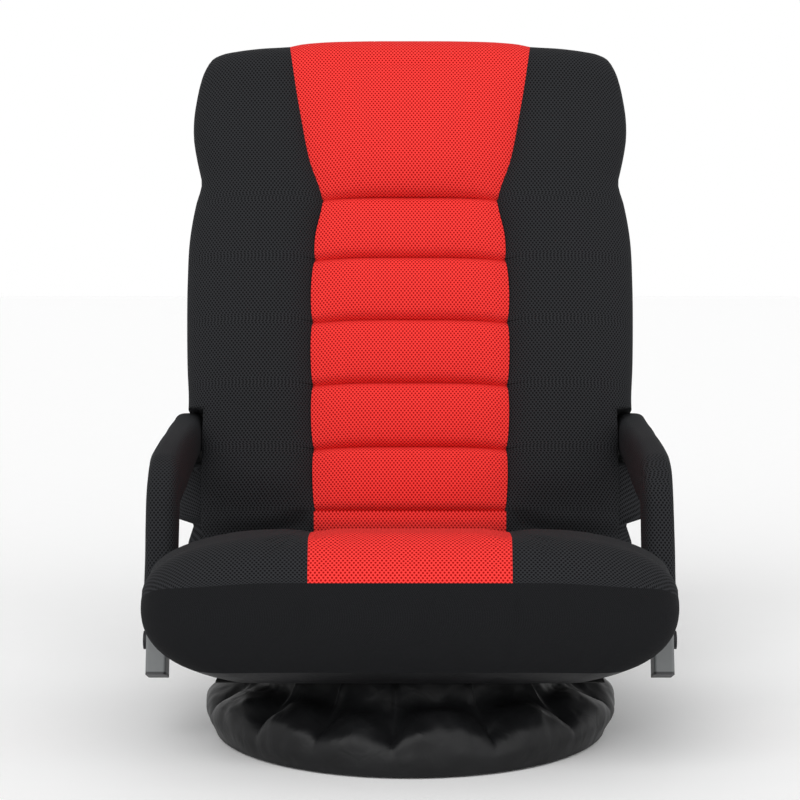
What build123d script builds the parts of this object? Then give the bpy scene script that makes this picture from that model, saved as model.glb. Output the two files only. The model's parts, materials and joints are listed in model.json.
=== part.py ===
from build123d import *
import math
import os

# Swivel floor chair with a ratchet-reclining back and padded arms that follow the back.
# Millimetres, +Z up, sitter facing -Y. The origin is on the floor, on the swivel axis.
# Left and right are the sitter's: left is +X.

# Round base that stands on the floor
FOOT_HEIGHT = 8.0
FOOT_WIDTH = 16.0
RING_RADIUS = 203.0
RING_TUBE_RADIUS = 12.5
RING_LIFT = 6.0
VENT_RADIUS = 3.0
CROSS_TUBE_WIDTH = 30.0
CROSS_TUBE_HEIGHT = 20.0
TUBE_WALL = 2.0

# Ball-bearing swivel between the base and the seat
PLATE_RADIUS = 80.0
PLATE_THICKNESS = 3.0
PLATE_BOLT_RADIUS = 70.0
RACE_RADIUS = 52.0
RACE_WIDTH = 16.0
RACE_HEIGHT = 4.0
RACE_GAP = 2.0
BALL_RADIUS = 4.0
BALL_COUNT = 24
RIVET_RADIUS = 8.0
RIVET_HEAD_RADIUS = 13.0
RIVET_HEAD_HEIGHT = 2.5
SCREW_RADIUS = 3.0
SCREW_HEAD_RADIUS = 5.5
SCREW_HEAD_HEIGHT = 3.0
SCREW_LENGTH = 9.0

# Fabric skirt over the base
COVER_THICKNESS = 2.0
COVER_LOBES = 14
COVER_HEM_LIFT = 2.0
COVER_EASE = 10.5
COVER_TOP_RADIUS = 156.0
COVER_FOLD_DEPTH = 16.0
COVER_TOP_GAP = 5.0

# Steel seat frame
BEARER_WIDTH = 25.0
BEARER_HEIGHT = 50.0
BEARER_LENGTH = 250.0
BEARER_SPACING = 100.0
DUST_COVER_THICKNESS = 1.0
FRAME_TUBE = 25.0
FRAME_INSET = 66.0
FRAME_FRONT_Y = -205.0
FRAME_SETBACK = 4.0
FRAME_BEND = 70.0
CROSS_BAR_SPACING = 220.0
WEBBING_WIDTH = 50.0
WEBBING_THICKNESS = 2.0
WEBBING_COUNT = 5

# Seat cushion
SEAT_HALF_WIDTH = 251.0
SEAT_NOSE_SWELL = 19.0
SEAT_FRONT_Y = -252.0
SEAT_FRONT_HEIGHT = 156.5
SEAT_REAR_HEIGHT = 85.0
SEAT_CROWN = 8.0
SEAT_BOTTOM_INSET = 50.0
SEAT_NOSE_INSET = 75.0
SEAT_FRONT_SHOULDER = 70.0
SEAT_REAR_SHOULDER = 40.0
SEAT_WAIST = 1.0
SEAT_BACK_GAP = 1.5
SEAT_TAPER_START = 95.0
SEAT_TAPER_EASE = 3.0
SEAT_TAPER_END = 145.0
SEAT_WIDEST_SHARE = 0.6
SEAT_ROLL_SHARES = (0.33, 0.36)
SEAT_BROW_SHARES = (0.25, 0.68)
SEAT_COVER_THICKNESS = 8.0
SEAT_SEAM_FRONT_HEIGHT = 111.0
SEAT_SEAM_REAR_HEIGHT = 68.0
SEAT_RED_FRONT_HALF_WIDTH = 101.0
SEAT_RED_REAR_HALF_WIDTH = 112.0
# Rounding of the nose: distance behind the front, narrower by, bottom lifted by, top lowered by
SEAT_NOSE_ROUNDING = (
    (0.0, 46.0, 30.0, 63.0),
    (6.0, 26.0, 14.0, 44.0),
    (20.0, 10.0, 4.0, 22.0),
    (39.0, 2.0, 0.0, 4.0),
    (54.0, 0.0, 0.0, 0.0),
)

# Recline hinge
LEAN = 18.0
DETENT_STEP = 18.0
DETENT_COUNT = 6
AXIS_Y = 235.0
AXIS_RISE = 27.0
CHEEK_THICKNESS = 4.0
CHEEK_RADIUS = 36.0
CHEEK_OVERLAP = 45.0
# Directions from the axis to where the cheek's upper and lower edges meet its round end
CHEEK_TOP_TOUCH = (-0.6, 0.8)
CHEEK_LOW_TOUCH = (-0.28, -0.96)
WHEEL_RADIUS = 30.0
WHEEL_THICKNESS = 8.0
WHEEL_ARM_WIDTH = 18.0
WHEEL_ARM_LENGTH = 95.0
NOTCH_WIDTH = 6.0
NOTCH_DEPTH = 5.0
HINGE_PIN_RADIUS = 7.0
PIN_HEAD_STEP = 4.0
PIN_HEAD_THICKNESS = 3.0
SPACER_WALL = 5.0
PAWL_LEVER = 26.0
PAWL_WIDTH = 9.0
PAWL_NOSE = 4.0
PAWL_NOSE_EASE = 1.2
PAWL_NOSE_RISE = 0.8
PAWL_PIN_RADIUS = 4.0
PAWL_LIFT = 0.6
SPRING_THICKNESS = 1.2

# Back cushion and frame
KNUCKLE_RADIUS = 52.0
BACK_HEIGHT = 662.0
BACK_FRONT = 42.0
BACK_REAR = 50.0
BACK_TOP_REAR = 38.0
BACK_SKIN = 3.0
BACK_LOW_HEIGHT = 214.0
BACK_WAIST_SWELL = 22.0
BACK_NOTCH_SWELL = 9.0
BACK_NOTCH_RISE = 31.0
BACK_HEAD_SWELL = 19.0
BACK_WAIST_DROP = 10.0
BACK_BROW_DROP = 25.0
# Rounding of the head's corners: in from the widest line, down from the top
BACK_HEAD_CORNER = ((15.0, 42.0), (22.0, 17.0), (55.0, 7.0))
CHANNEL_COUNT = 5
CHANNEL_PITCH = 78.0
HEADREST_HEIGHT = 210.0
CHANNEL_RISE = 13.0
CHANNEL_SEAM = 5.0
RED_LOW_HALF_WIDTH = 115.0
RED_MIDDLE_HALF_WIDTH = 120.0
RED_WAIST_HALF_WIDTH = 108.0
RED_PILLOW_HALF_WIDTH = 124.0
RED_TOP_HALF_WIDTH = 150.0
RED_TOP_DROP = 10.0
BACK_TUCK_HEIGHT = 30.0
BACK_TUCK_RISE = 9.0
BOLSTER_RISE = 22.0
BOLSTER_EASE = 5.0
BOLSTER_HEAD_SWELL = 24.0
BOLSTER_HEAD_ROUNDING = 28.0
BOLSTER_TOP_DROP = 17.0
BOLSTER_TOP_SHARE = 0.35
# Thinning of a bolster beside the head pillow: share of the pillow's height, share of the bolster's rise
BOLSTER_THINNING = ((0.5, 1.0), (0.75, 0.8))
HEADREST_RISE = 27.0
# Crown of the head pillow: share of its height, share of its rise
HEADREST_CROWN = ((0.0, 0.3), (0.12, 0.8), (0.47, 1.0), (0.82, 0.8), (0.96, 0.35))
BACK_TUBE_RADIUS = 11.0
BACK_TUBE_WALL = 1.5
BACK_CROSS_RADIUS = 9.0
BACK_FRAME_DROP = 65.0
BACK_FRAME_BEND = 60.0
BACK_CROSS_HEIGHTS = (120.0, 420.0)
BACK_STRAP_HEIGHTS = (180.0, 250.0, 320.0, 490.0)

# Arms
STRUT_PIVOT_Y = -57.0
STRUT_LENGTH = 168.0
ARM_CLEARANCE = 2.0
ARM_WIDTH = 38.0
STRUT_TUBE_WIDTH = 22.0
STRUT_TUBE_DEPTH = 38.0
STRUT_TAIL = 36.0
STRUT_CORNER = 3.0
EAR_STEP = 2.0
EAR_ROOM = 7.0
STRUT_PAD_DEPTH = 56.0
STRUT_PAD_START = 34.0
STRUT_PAD_CORNER = 9.0
PLUG_THICKNESS = 3.0
PLUG_INSERT = 12.0
ARM_TUBE_WIDTH = 16.0
ARM_TUBE_HEIGHT = 30.0
ARM_PAD_RADIUS = 33.0
STRUT_PAD_GAP = 4.0
PIVOT_RADIUS = 5.0
PIVOT_HEAD = 2.0
BRACKET_BAR = 20.0
BRACKET_SOLID_END = 8.0
STRUT_BOLT_RADIUS = 6.0
STRUT_BOLT_HEAD = 4.0
STUD_SLEEVE_RADIUS = 9.0
NUT_RADIUS = 8.0
NUT_HEIGHT = 5.0

# Clearances
RUNNING = 0.1
GAP = 0.3
LOOSE = 1.0

# How far a cut runs past the face it opens, and a shaping block past the cushion it trims
OVERCUT = 1.0
REACH = 100.0

# Heights that follow from the sizes above
RING_Z = RING_LIFT + RING_TUBE_RADIUS
COVER_RIM_RADIUS = RING_RADIUS + RING_TUBE_RADIUS + COVER_EASE
LOWER_PLATE_Z = RING_Z + CROSS_TUBE_HEIGHT / 2
BALL_Z = LOWER_PLATE_Z + PLATE_THICKNESS + RACE_HEIGHT + RACE_GAP / 2
UPPER_RACE_Z = BALL_Z + RACE_GAP / 2
UPPER_PLATE_Z = UPPER_RACE_Z + RACE_HEIGHT
BEARER_Z = UPPER_PLATE_Z + PLATE_THICKNESS
SEAT_Z = BEARER_Z + BEARER_HEIGHT
FRAME_Z = SEAT_Z + DUST_COVER_THICKNESS
FRAME_MID_Z = FRAME_Z + FRAME_TUBE / 2
FRAME_TOP_Z = FRAME_Z + FRAME_TUBE
WEBBING_TOP_Z = FRAME_TOP_Z + WEBBING_THICKNESS
AXIS_Z = FRAME_MID_Z + AXIS_RISE
SEAT_REAR_Y = AXIS_Y - KNUCKLE_RADIUS - SEAT_BACK_GAP
FRAME_REAR_Y = SEAT_REAR_Y - FRAME_SETBACK
FRAME_HALF_WIDTH = SEAT_HALF_WIDTH - FRAME_INSET
ARM_INSIDE = SEAT_HALF_WIDTH + ARM_CLEARANCE
ARM_MID_X = ARM_INSIDE + ARM_WIDTH / 2
SEAT_FRONT_HALF_WIDTH = SEAT_HALF_WIDTH + SEAT_NOSE_SWELL
BACK_LOW_HALF_WIDTH = SEAT_HALF_WIDTH
BACK_WIDE_HALF_WIDTH = SEAT_HALF_WIDTH + BACK_WAIST_SWELL
BACK_NOTCH_HALF_WIDTH = SEAT_HALF_WIDTH + BACK_NOTCH_SWELL
BACK_HEAD_HALF_WIDTH = SEAT_HALF_WIDTH + BACK_HEAD_SWELL

# Pivots of the arm linkage: strut foot, elbow, and the arm's pivot on the back
LEAN_RAD = math.radians(LEAN)
STRUT_PIVOT = (STRUT_PIVOT_Y, FRAME_MID_Z)
ELBOW = (
    STRUT_PIVOT_Y + STRUT_LENGTH * math.sin(LEAN_RAD),
    FRAME_MID_Z + STRUT_LENGTH * math.cos(LEAN_RAD),
)
LINK_Y = AXIS_Y - STRUT_PIVOT[0]
LINK_Z = AXIS_Z - STRUT_PIVOT[1]
LINK_LENGTH = math.hypot(LINK_Y, LINK_Z)
LINK_ANGLE = math.degrees(math.atan2(LINK_Z, LINK_Y))

# Heights on the back, above the recline axis
CHANNEL_TOP = BACK_HEIGHT - HEADREST_HEIGHT
CHANNEL_LOW = CHANNEL_TOP - CHANNEL_COUNT * CHANNEL_PITCH
BACK_NOTCH_HEIGHT = CHANNEL_TOP + BACK_NOTCH_RISE
BACK_FRAME_TOP = BACK_HEIGHT - BACK_FRAME_DROP

# Height and half width of the red centre: at the lowest seam, the middle, the waist and up the head pillow
RED_OUTLINE = (
    (CHANNEL_LOW, RED_LOW_HALF_WIDTH),
    (CHANNEL_LOW + 0.4 * CHANNEL_COUNT * CHANNEL_PITCH, RED_MIDDLE_HALF_WIDTH),
    (CHANNEL_TOP - 0.6 * CHANNEL_PITCH, RED_LOW_HALF_WIDTH),
    (CHANNEL_TOP, RED_WAIST_HALF_WIDTH),
    (CHANNEL_TOP + 0.25 * HEADREST_HEIGHT, RED_PILLOW_HALF_WIDTH),
    (BACK_HEIGHT - RED_TOP_DROP, RED_TOP_HALF_WIDTH),
)

back_place = Location((0, AXIS_Y, AXIS_Z), (-LEAN, 0, 0))
strut_place = Location((0, *STRUT_PIVOT), (-LEAN, 0, 0))
arm_place = Location((0, *ELBOW), (LINK_ANGLE, 0, 0))


def block(x0, x1, y0, y1, z0, z1):
    """A box between two corners."""
    middle = Pos((x0 + x1) / 2, (y0 + y1) / 2, (z0 + z1) / 2)
    return middle * Box(x1 - x0, y1 - y0, z1 - z0)


def rod_x(radius, x0, x1, y, z):
    """A round bar along X."""
    return Pos((x0 + x1) / 2, y, z) * Rot(0, 90, 0) * Cylinder(radius, x1 - x0)


def rod_z(radius, x, y, z0, z1):
    """A round bar along Z."""
    return Pos(x, y, (z0 + z1) / 2) * Cylinder(radius, z1 - z0)


def mirrored(shape):
    """The same piece on the sitter's right."""
    return mirror(shape, about=Plane.YZ)


def plate_x(outline, x0, x1):
    """A plate between x0 and x1 from its outline, a list of (y, z) corners."""
    face = make_face(Polyline(*[(x0, y, z) for y, z in outline], close=True))
    return extrude(face, amount=x1 - x0, dir=(1, 0, 0))


def ring_wall(outer, inner, z0, z1):
    """A flat ring round the swivel axis."""
    return rod_z(outer, 0, 0, z0, z1) - rod_z(inner, 0, 0, z0 - OVERCUT, z1 + OVERCUT)


# Base: rubber foot, tube ring, crossing tubes


def ring_envelope():
    """The base's ring as a solid bar, to shape what meets it."""
    return Pos(0, 0, RING_Z) * Torus(RING_RADIUS, RING_TUBE_RADIUS)


def base_ring():
    """Bent round tube, with a vent hole on its inner side at one corner between the crossing tubes."""
    bore = Pos(0, 0, RING_Z) * Torus(RING_RADIUS, RING_TUBE_RADIUS - TUBE_WALL)
    inside = RING_RADIUS - RING_TUBE_RADIUS - OVERCUT
    vent = Rot(0, 0, 45) * rod_x(VENT_RADIUS, inside, RING_RADIUS, 0, RING_Z)
    return ring_envelope() - bore - vent


def base_foot_ring():
    foot = ring_wall(RING_RADIUS + FOOT_WIDTH / 2, RING_RADIUS - FOOT_WIDTH / 2, 0, FOOT_HEIGHT)
    return foot - ring_envelope()


def base_tube_y():
    half = CROSS_TUBE_WIDTH / 2
    z0 = RING_Z - CROSS_TUBE_HEIGHT / 2
    z1 = RING_Z + CROSS_TUBE_HEIGHT / 2
    tube = block(-half, half, -RING_RADIUS, RING_RADIUS, z0, z1)
    tube -= block(
        -half + TUBE_WALL, half - TUBE_WALL, -RING_RADIUS, RING_RADIUS, z0 + TUBE_WALL, z1 - TUBE_WALL
    )
    tube -= ring_envelope()
    tube -= base_foot_ring()
    tube -= rod_z(RIVET_HEAD_RADIUS + GAP, 0, 0, z1 - RIVET_HEAD_HEIGHT - OVERCUT, z1 + OVERCUT)
    for y in (-PLATE_BOLT_RADIUS, PLATE_BOLT_RADIUS):
        tube -= rod_z(SCREW_RADIUS, 0, y, z1 - TUBE_WALL - OVERCUT, z1 + OVERCUT)
    return tube


def base_tubes_x():
    half = CROSS_TUBE_WIDTH / 2
    z0 = RING_Z - CROSS_TUBE_HEIGHT / 2
    z1 = RING_Z + CROSS_TUBE_HEIGHT / 2
    tube = block(half, RING_RADIUS, -half, half, z0, z1)
    tube -= block(
        half, RING_RADIUS, -half + TUBE_WALL, half - TUBE_WALL, z0 + TUBE_WALL, z1 - TUBE_WALL
    )
    tube -= ring_envelope()
    tube -= base_foot_ring()
    tube -= rod_z(SCREW_RADIUS, PLATE_BOLT_RADIUS, 0, z1 - TUBE_WALL - OVERCUT, z1 + OVERCUT)
    return Compound([*tube.solids(), *mirrored(tube).solids()])


# Swivel bearing


def race_groove():
    return Pos(0, 0, BALL_Z) * Torus(RACE_RADIUS, BALL_RADIUS + RUNNING / 2)


def screw_places(turn):
    """Plan positions of four screws on the bolt circle, turned by an angle."""
    angles = [math.radians(turn + 90 * k) for k in range(4)]
    return [(PLATE_BOLT_RADIUS * math.cos(a), PLATE_BOLT_RADIUS * math.sin(a)) for a in angles]


def swivel_lower_plate():
    top = LOWER_PLATE_Z + PLATE_THICKNESS
    plate = rod_z(PLATE_RADIUS, 0, 0, LOWER_PLATE_Z, top)
    plate += ring_wall(RACE_RADIUS + RACE_WIDTH / 2, RACE_RADIUS - RACE_WIDTH / 2, top, top + RACE_HEIGHT)
    plate -= race_groove()
    plate -= rod_z(RIVET_RADIUS, 0, 0, LOWER_PLATE_Z - OVERCUT, top + OVERCUT)
    for x, y in screw_places(0):
        plate -= rod_z(SCREW_RADIUS, x, y, LOWER_PLATE_Z - OVERCUT, top + OVERCUT)
    return plate


def swivel_upper_plate():
    plate = rod_z(PLATE_RADIUS, 0, 0, UPPER_PLATE_Z, BEARER_Z)
    plate += ring_wall(
        RACE_RADIUS + RACE_WIDTH / 2, RACE_RADIUS - RACE_WIDTH / 2, UPPER_RACE_Z, UPPER_PLATE_Z
    )
    plate -= race_groove()
    plate -= rod_z(RIVET_RADIUS + RUNNING, 0, 0, UPPER_RACE_Z - OVERCUT, BEARER_Z + OVERCUT)
    for x, y in screw_places(45):
        plate -= rod_z(SCREW_RADIUS, x, y, UPPER_PLATE_Z - OVERCUT, BEARER_Z + OVERCUT)
    return plate


def swivel_balls():
    step = 2 * math.pi / BALL_COUNT
    return Compound(
        [
            (Pos(RACE_RADIUS * math.cos(k * step), RACE_RADIUS * math.sin(k * step), BALL_Z)
             * Sphere(BALL_RADIUS)).solid()
            for k in range(BALL_COUNT)
        ]
    )


def swivel_rivet():
    shank = rod_z(RIVET_RADIUS, 0, 0, LOWER_PLATE_Z, BEARER_Z + GAP)
    shank += rod_z(RIVET_HEAD_RADIUS, 0, 0, LOWER_PLATE_Z - RIVET_HEAD_HEIGHT, LOWER_PLATE_Z)
    shank += rod_z(RIVET_HEAD_RADIUS, 0, 0, BEARER_Z + GAP, BEARER_Z + GAP + RIVET_HEAD_HEIGHT)
    return shank


def swivel_lower_screws():
    head_z = LOWER_PLATE_Z + PLATE_THICKNESS
    screws = []
    for x, y in screw_places(0):
        screw = rod_z(SCREW_RADIUS, x, y, head_z - SCREW_LENGTH, head_z)
        screw += rod_z(SCREW_HEAD_RADIUS, x, y, head_z, head_z + SCREW_HEAD_HEIGHT)
        screws.append(screw.solid())
    return Compound(screws)


def swivel_upper_screws():
    screws = []
    for x, y in screw_places(45):
        screw = rod_z(SCREW_RADIUS, x, y, UPPER_PLATE_Z, UPPER_PLATE_Z + SCREW_LENGTH)
        screw += rod_z(SCREW_HEAD_RADIUS, x, y, UPPER_PLATE_Z - SCREW_HEAD_HEIGHT, UPPER_PLATE_Z)
        screws.append(screw.solid())
    return Compound(screws)


# Fabric skirt: gathered lobes from the hem under the ring to the neck under the seat


def lobed_wire(valley, peak, z):
    """A closed wire of equal lobes round the swivel axis."""
    step = 2 * math.pi / COVER_LOBES

    def at(radius, angle):
        return (radius * math.cos(angle), radius * math.sin(angle), z)

    arcs = [
        ThreePointArc(at(valley, k * step), at(peak, (k + 0.5) * step), at(valley, (k + 1) * step))
        for k in range(COVER_LOBES)
    ]
    return Wire(arcs)


def cover_levels(inset):
    """Valley radius, peak radius and height of each level of the skirt."""
    hem = RING_RADIUS + FOOT_WIDTH / 2 + GAP + COVER_THICKNESS
    rim_top = RING_Z + 2 * RING_TUBE_RADIUS
    neck = SEAT_Z - COVER_TOP_GAP
    slope = (rim_top + neck) / 2
    slope_radius = (COVER_RIM_RADIUS + COVER_TOP_RADIUS) / 2
    levels = (
        (hem, hem, COVER_HEM_LIFT),
        (COVER_RIM_RADIUS - COVER_FOLD_DEPTH / 4, COVER_RIM_RADIUS, RING_Z),
        (COVER_RIM_RADIUS - COVER_FOLD_DEPTH, COVER_RIM_RADIUS - COVER_FOLD_DEPTH / 3, rim_top),
        (slope_radius - COVER_FOLD_DEPTH, slope_radius, slope),
        (COVER_TOP_RADIUS - COVER_FOLD_DEPTH / 3, COVER_TOP_RADIUS, neck),
    )
    return [(valley - inset, peak - inset, z) for valley, peak, z in levels]


def base_cover():
    outer = Solid.make_loft([lobed_wire(*level) for level in cover_levels(0)], True)
    inner = Solid.make_loft([lobed_wire(*level) for level in cover_levels(COVER_THICKNESS)], True)
    return outer - inner


# Seat frame


def box_tube_y(x, y0, y1, z0, width, height):
    """A rectangular tube along Y, open at both ends."""
    tube = block(x - width / 2, x + width / 2, y0, y1, z0, z0 + height)
    return tube - block(
        x - width / 2 + TUBE_WALL, x + width / 2 - TUBE_WALL, y0 - OVERCUT, y1 + OVERCUT,
        z0 + TUBE_WALL, z0 + height - TUBE_WALL,
    )


def box_tube_x(y, x0, x1, z0, width, height):
    """A rectangular tube along X, open at both ends."""
    tube = block(x0, x1, y - width / 2, y + width / 2, z0, z0 + height)
    return tube - block(
        x0 - OVERCUT, x1 + OVERCUT, y - width / 2 + TUBE_WALL, y + width / 2 - TUBE_WALL,
        z0 + TUBE_WALL, z0 + height - TUBE_WALL,
    )


def seat_bearer():
    x = BEARER_SPACING / 2
    tube = box_tube_y(x, -BEARER_LENGTH / 2, BEARER_LENGTH / 2, BEARER_Z, BEARER_WIDTH, BEARER_HEIGHT)
    for sx, sy in screw_places(45):
        tube -= rod_z(SCREW_RADIUS, sx, sy, BEARER_Z - OVERCUT, BEARER_Z + TUBE_WALL + OVERCUT)
    return tube


def seat_frame():
    """One bent square tube: both sides and the front."""
    x = FRAME_HALF_WIDTH
    front = FRAME_FRONT_Y + FRAME_TUBE / 2
    corners = [(x, FRAME_REAR_Y), (x, front), (-x, front), (-x, FRAME_REAR_Y)]
    path = FilletPolyline(*[(cx, cy, FRAME_MID_Z) for cx, cy in corners], radius=FRAME_BEND)
    hole = FRAME_TUBE - 2 * TUBE_WALL
    start = Plane(origin=(x, FRAME_REAR_Y, FRAME_MID_Z), z_dir=(0, -1, 0))
    return sweep(start * (Rectangle(FRAME_TUBE, FRAME_TUBE) - Rectangle(hole, hole)), path=path)


def frame_plan(z0, z1):
    """A slab as wide as the seat frame, with the frame's round front corners."""
    half = FRAME_HALF_WIDTH + FRAME_TUBE / 2
    slab = block(-half, half, FRAME_FRONT_Y, FRAME_REAR_Y, z0, z1)
    front = slab.edges().filter_by(Axis.Z).group_by(Axis.Y)[0]
    return fillet(front, FRAME_BEND + FRAME_TUBE / 2)


def seat_cross_bars():
    """Two bars on the bearers, and a rear bar between the hinges."""
    inner = FRAME_HALF_WIDTH - FRAME_TUBE / 2
    places = [
        (-CROSS_BAR_SPACING / 2, inner),
        (CROSS_BAR_SPACING / 2, inner),
        (FRAME_REAR_Y - FRAME_TUBE / 2, inner - CHEEK_THICKNESS),
    ]
    bars = [box_tube_x(y, -half, half, FRAME_Z, FRAME_TUBE, FRAME_TUBE) for y, half in places]
    return Compound([bar.solid() for bar in bars])


def seat_webbing():
    half = FRAME_HALF_WIDTH
    first = FRAME_FRONT_Y + FRAME_TUBE / 2 + FRAME_BEND / 2 + WEBBING_WIDTH / 2
    last = FRAME_REAR_Y - FRAME_TUBE - WEBBING_WIDTH / 2
    pitch = (last - first) / (WEBBING_COUNT - 1)
    straps = [
        block(
            -half, half, first + k * pitch - WEBBING_WIDTH / 2, first + k * pitch + WEBBING_WIDTH / 2,
            FRAME_TOP_Z, WEBBING_TOP_Z,
        )
        for k in range(WEBBING_COUNT)
    ]
    return Compound([strap.solid() for strap in straps])


def seat_dust_cover():
    return frame_plan(SEAT_Z, FRAME_Z)


# Seat cushion: crowned top, rolled lower edges, wider ahead of the arms


def along_seat(y, at_front, at_rear):
    """A size that changes evenly from the cushion's front to its rear."""
    share = (y - SEAT_FRONT_Y) / (SEAT_REAR_Y - SEAT_FRONT_Y)
    return at_front + share * (at_rear - at_front)


def seat_section(y, half_width, bottom_inset, lift, drop, inset):
    """One upright section across the cushion, pulled in by inset on every side but the bottom."""
    side = half_width - inset
    bottom = half_width - bottom_inset - inset
    rounding = along_seat(y, SEAT_FRONT_SHOULDER, SEAT_REAR_SHOULDER)
    shoulder = side - rounding
    low_z = SEAT_Z + lift
    edge_z = SEAT_Z + along_seat(y, SEAT_FRONT_HEIGHT, SEAT_REAR_HEIGHT) - drop - inset
    side_z = low_z + SEAT_WIDEST_SHARE * (edge_z - low_z)
    roll_in, roll_up = SEAT_ROLL_SHARES
    roll = (side - roll_in * (side - bottom), low_z + roll_up * (side_z - low_z))
    brow_in, brow_up = SEAT_BROW_SHARES
    brow = (side - brow_in * rounding, side_z + brow_up * (edge_z - side_z))

    def at(x, z):
        return (x, y, z)

    return Wire(
        [
            Line(at(-bottom, low_z), at(bottom, low_z)),
            ThreePointArc(at(bottom, low_z), at(*roll), at(side, side_z)),
            ThreePointArc(at(side, side_z), at(*brow), at(shoulder, edge_z)),
            ThreePointArc(at(shoulder, edge_z), at(0, edge_z + SEAT_CROWN), at(-shoulder, edge_z)),
            ThreePointArc(at(-shoulder, edge_z), at(-brow[0], brow[1]), at(-side, side_z)),
            ThreePointArc(at(-side, side_z), at(-roll[0], roll[1]), at(-bottom, low_z)),
        ]
    )


def seat_body(inset):
    """The whole cushion, or its foam when pulled in by the cover's thickness."""
    front = SEAT_FRONT_Y + inset
    nose = SEAT_FRONT_HALF_WIDTH
    between = (SEAT_NOSE_INSET + SEAT_BOTTOM_INSET) / 2
    stations = [
        (front + behind, nose - narrower, SEAT_NOSE_INSET, lift, drop)
        for behind, narrower, lift, drop in SEAT_NOSE_ROUNDING
    ]
    stations += [
        (front + SEAT_TAPER_START, nose - SEAT_TAPER_EASE, between, 0, 0),
        (front + SEAT_TAPER_END, SEAT_HALF_WIDTH, SEAT_BOTTOM_INSET, 0, 0),
        (0, SEAT_HALF_WIDTH - SEAT_WAIST, SEAT_BOTTOM_INSET, 0, 0),
        (SEAT_REAR_Y, SEAT_HALF_WIDTH, SEAT_BOTTOM_INSET, 0, 0),
    ]
    return Solid.make_loft([seat_section(*station, inset) for station in stations], True)


def seat_cap():
    """Everything above the seam that runs round the top of the cushion."""
    side = SEAT_FRONT_HALF_WIDTH + REACH
    front = SEAT_FRONT_Y - REACH
    rear = SEAT_REAR_Y + REACH
    top = SEAT_Z + SEAT_FRONT_HEIGHT + REACH
    seam = [(y, SEAT_Z + along_seat(y, SEAT_SEAM_FRONT_HEIGHT, SEAT_SEAM_REAR_HEIGHT)) for y in (front, rear)]
    return plate_x([*seam, (rear, top), (front, top)], -side, side)


def seat_red_prism():
    """The plan of the red centre panel, as an upright prism."""
    front = SEAT_FRONT_Y - OVERCUT
    rear = SEAT_REAR_Y + OVERCUT
    corners = [
        (-SEAT_RED_FRONT_HALF_WIDTH, front),
        (SEAT_RED_FRONT_HALF_WIDTH, front),
        (SEAT_RED_REAR_HALF_WIDTH, rear),
        (-SEAT_RED_REAR_HALF_WIDTH, rear),
    ]
    face = make_face(Polyline(*[(x, y, SEAT_Z) for x, y in corners], close=True))
    return extrude(face, amount=SEAT_FRONT_HEIGHT + REACH, dir=(0, 0, 1))


def hinge_pocket():
    """Room for one hinge housing in the seat foam."""
    x0 = FRAME_HALF_WIDTH - FRAME_TUBE / 2 - CHEEK_THICKNESS - LOOSE
    x1 = FRAME_HALF_WIDTH + FRAME_TUBE / 2 + CHEEK_THICKNESS + LOOSE
    y0 = FRAME_REAR_Y - CHEEK_OVERLAP - LOOSE
    top = AXIS_Z + CHEEK_RADIUS / 3 + LOOSE
    return block(x0, x1, y0, SEAT_REAR_Y + OVERCUT, SEAT_Z - OVERCUT, top)


def arm_bracket_hole():
    """Room for one arm bracket through the side of the seat."""
    half = BRACKET_BAR / 2
    return block(
        FRAME_HALF_WIDTH, ARM_INSIDE + OVERCUT, STRUT_PIVOT_Y - half, STRUT_PIVOT_Y + half,
        FRAME_MID_Z - half, FRAME_MID_Z + half,
    )


def frame_room():
    """Room for the frame and webbing under the seat foam, open at the rear."""
    half = FRAME_HALF_WIDTH + FRAME_TUBE / 2
    room = frame_plan(SEAT_Z - OVERCUT, WEBBING_TOP_Z)
    return room + block(-half, half, 0, SEAT_REAR_Y + OVERCUT, SEAT_Z - OVERCUT, WEBBING_TOP_Z)


def seat_foam():
    foam = seat_body(SEAT_COVER_THICKNESS)
    foam -= frame_room()
    for pocket in (hinge_pocket(), arm_bracket_hole()):
        foam -= pocket
        foam -= mirrored(pocket)
    return foam


def seat_cover_panels():
    """The sewn cover as separate panels, by node name."""
    shell = seat_body(0) - seat_body(SEAT_COVER_THICKNESS)
    cap = seat_cap()
    red = seat_red_prism()
    boxing = shell - cap - frame_room()
    for hole in (arm_bracket_hole(), hinge_pocket()):
        boxing -= hole
        boxing -= mirrored(hole)
    top = shell & cap
    sides = sorted((top - red).solids(), key=lambda s: s.center().X)
    return {
        "seat_boxing": boxing,
        "seat_centre_panel": top & red,
        "seat_side_panel_right": sides[0],
        "seat_side_panel_left": sides[-1],
    }


# Ratchet hinge on the sitter's left, between two cheeks welded to the side rail


def on_cheek(direction):
    """The point of the cheek's round end in a direction from the axis."""
    return AXIS_Y + direction[0] * CHEEK_RADIUS, AXIS_Z + direction[1] * CHEEK_RADIUS


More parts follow.
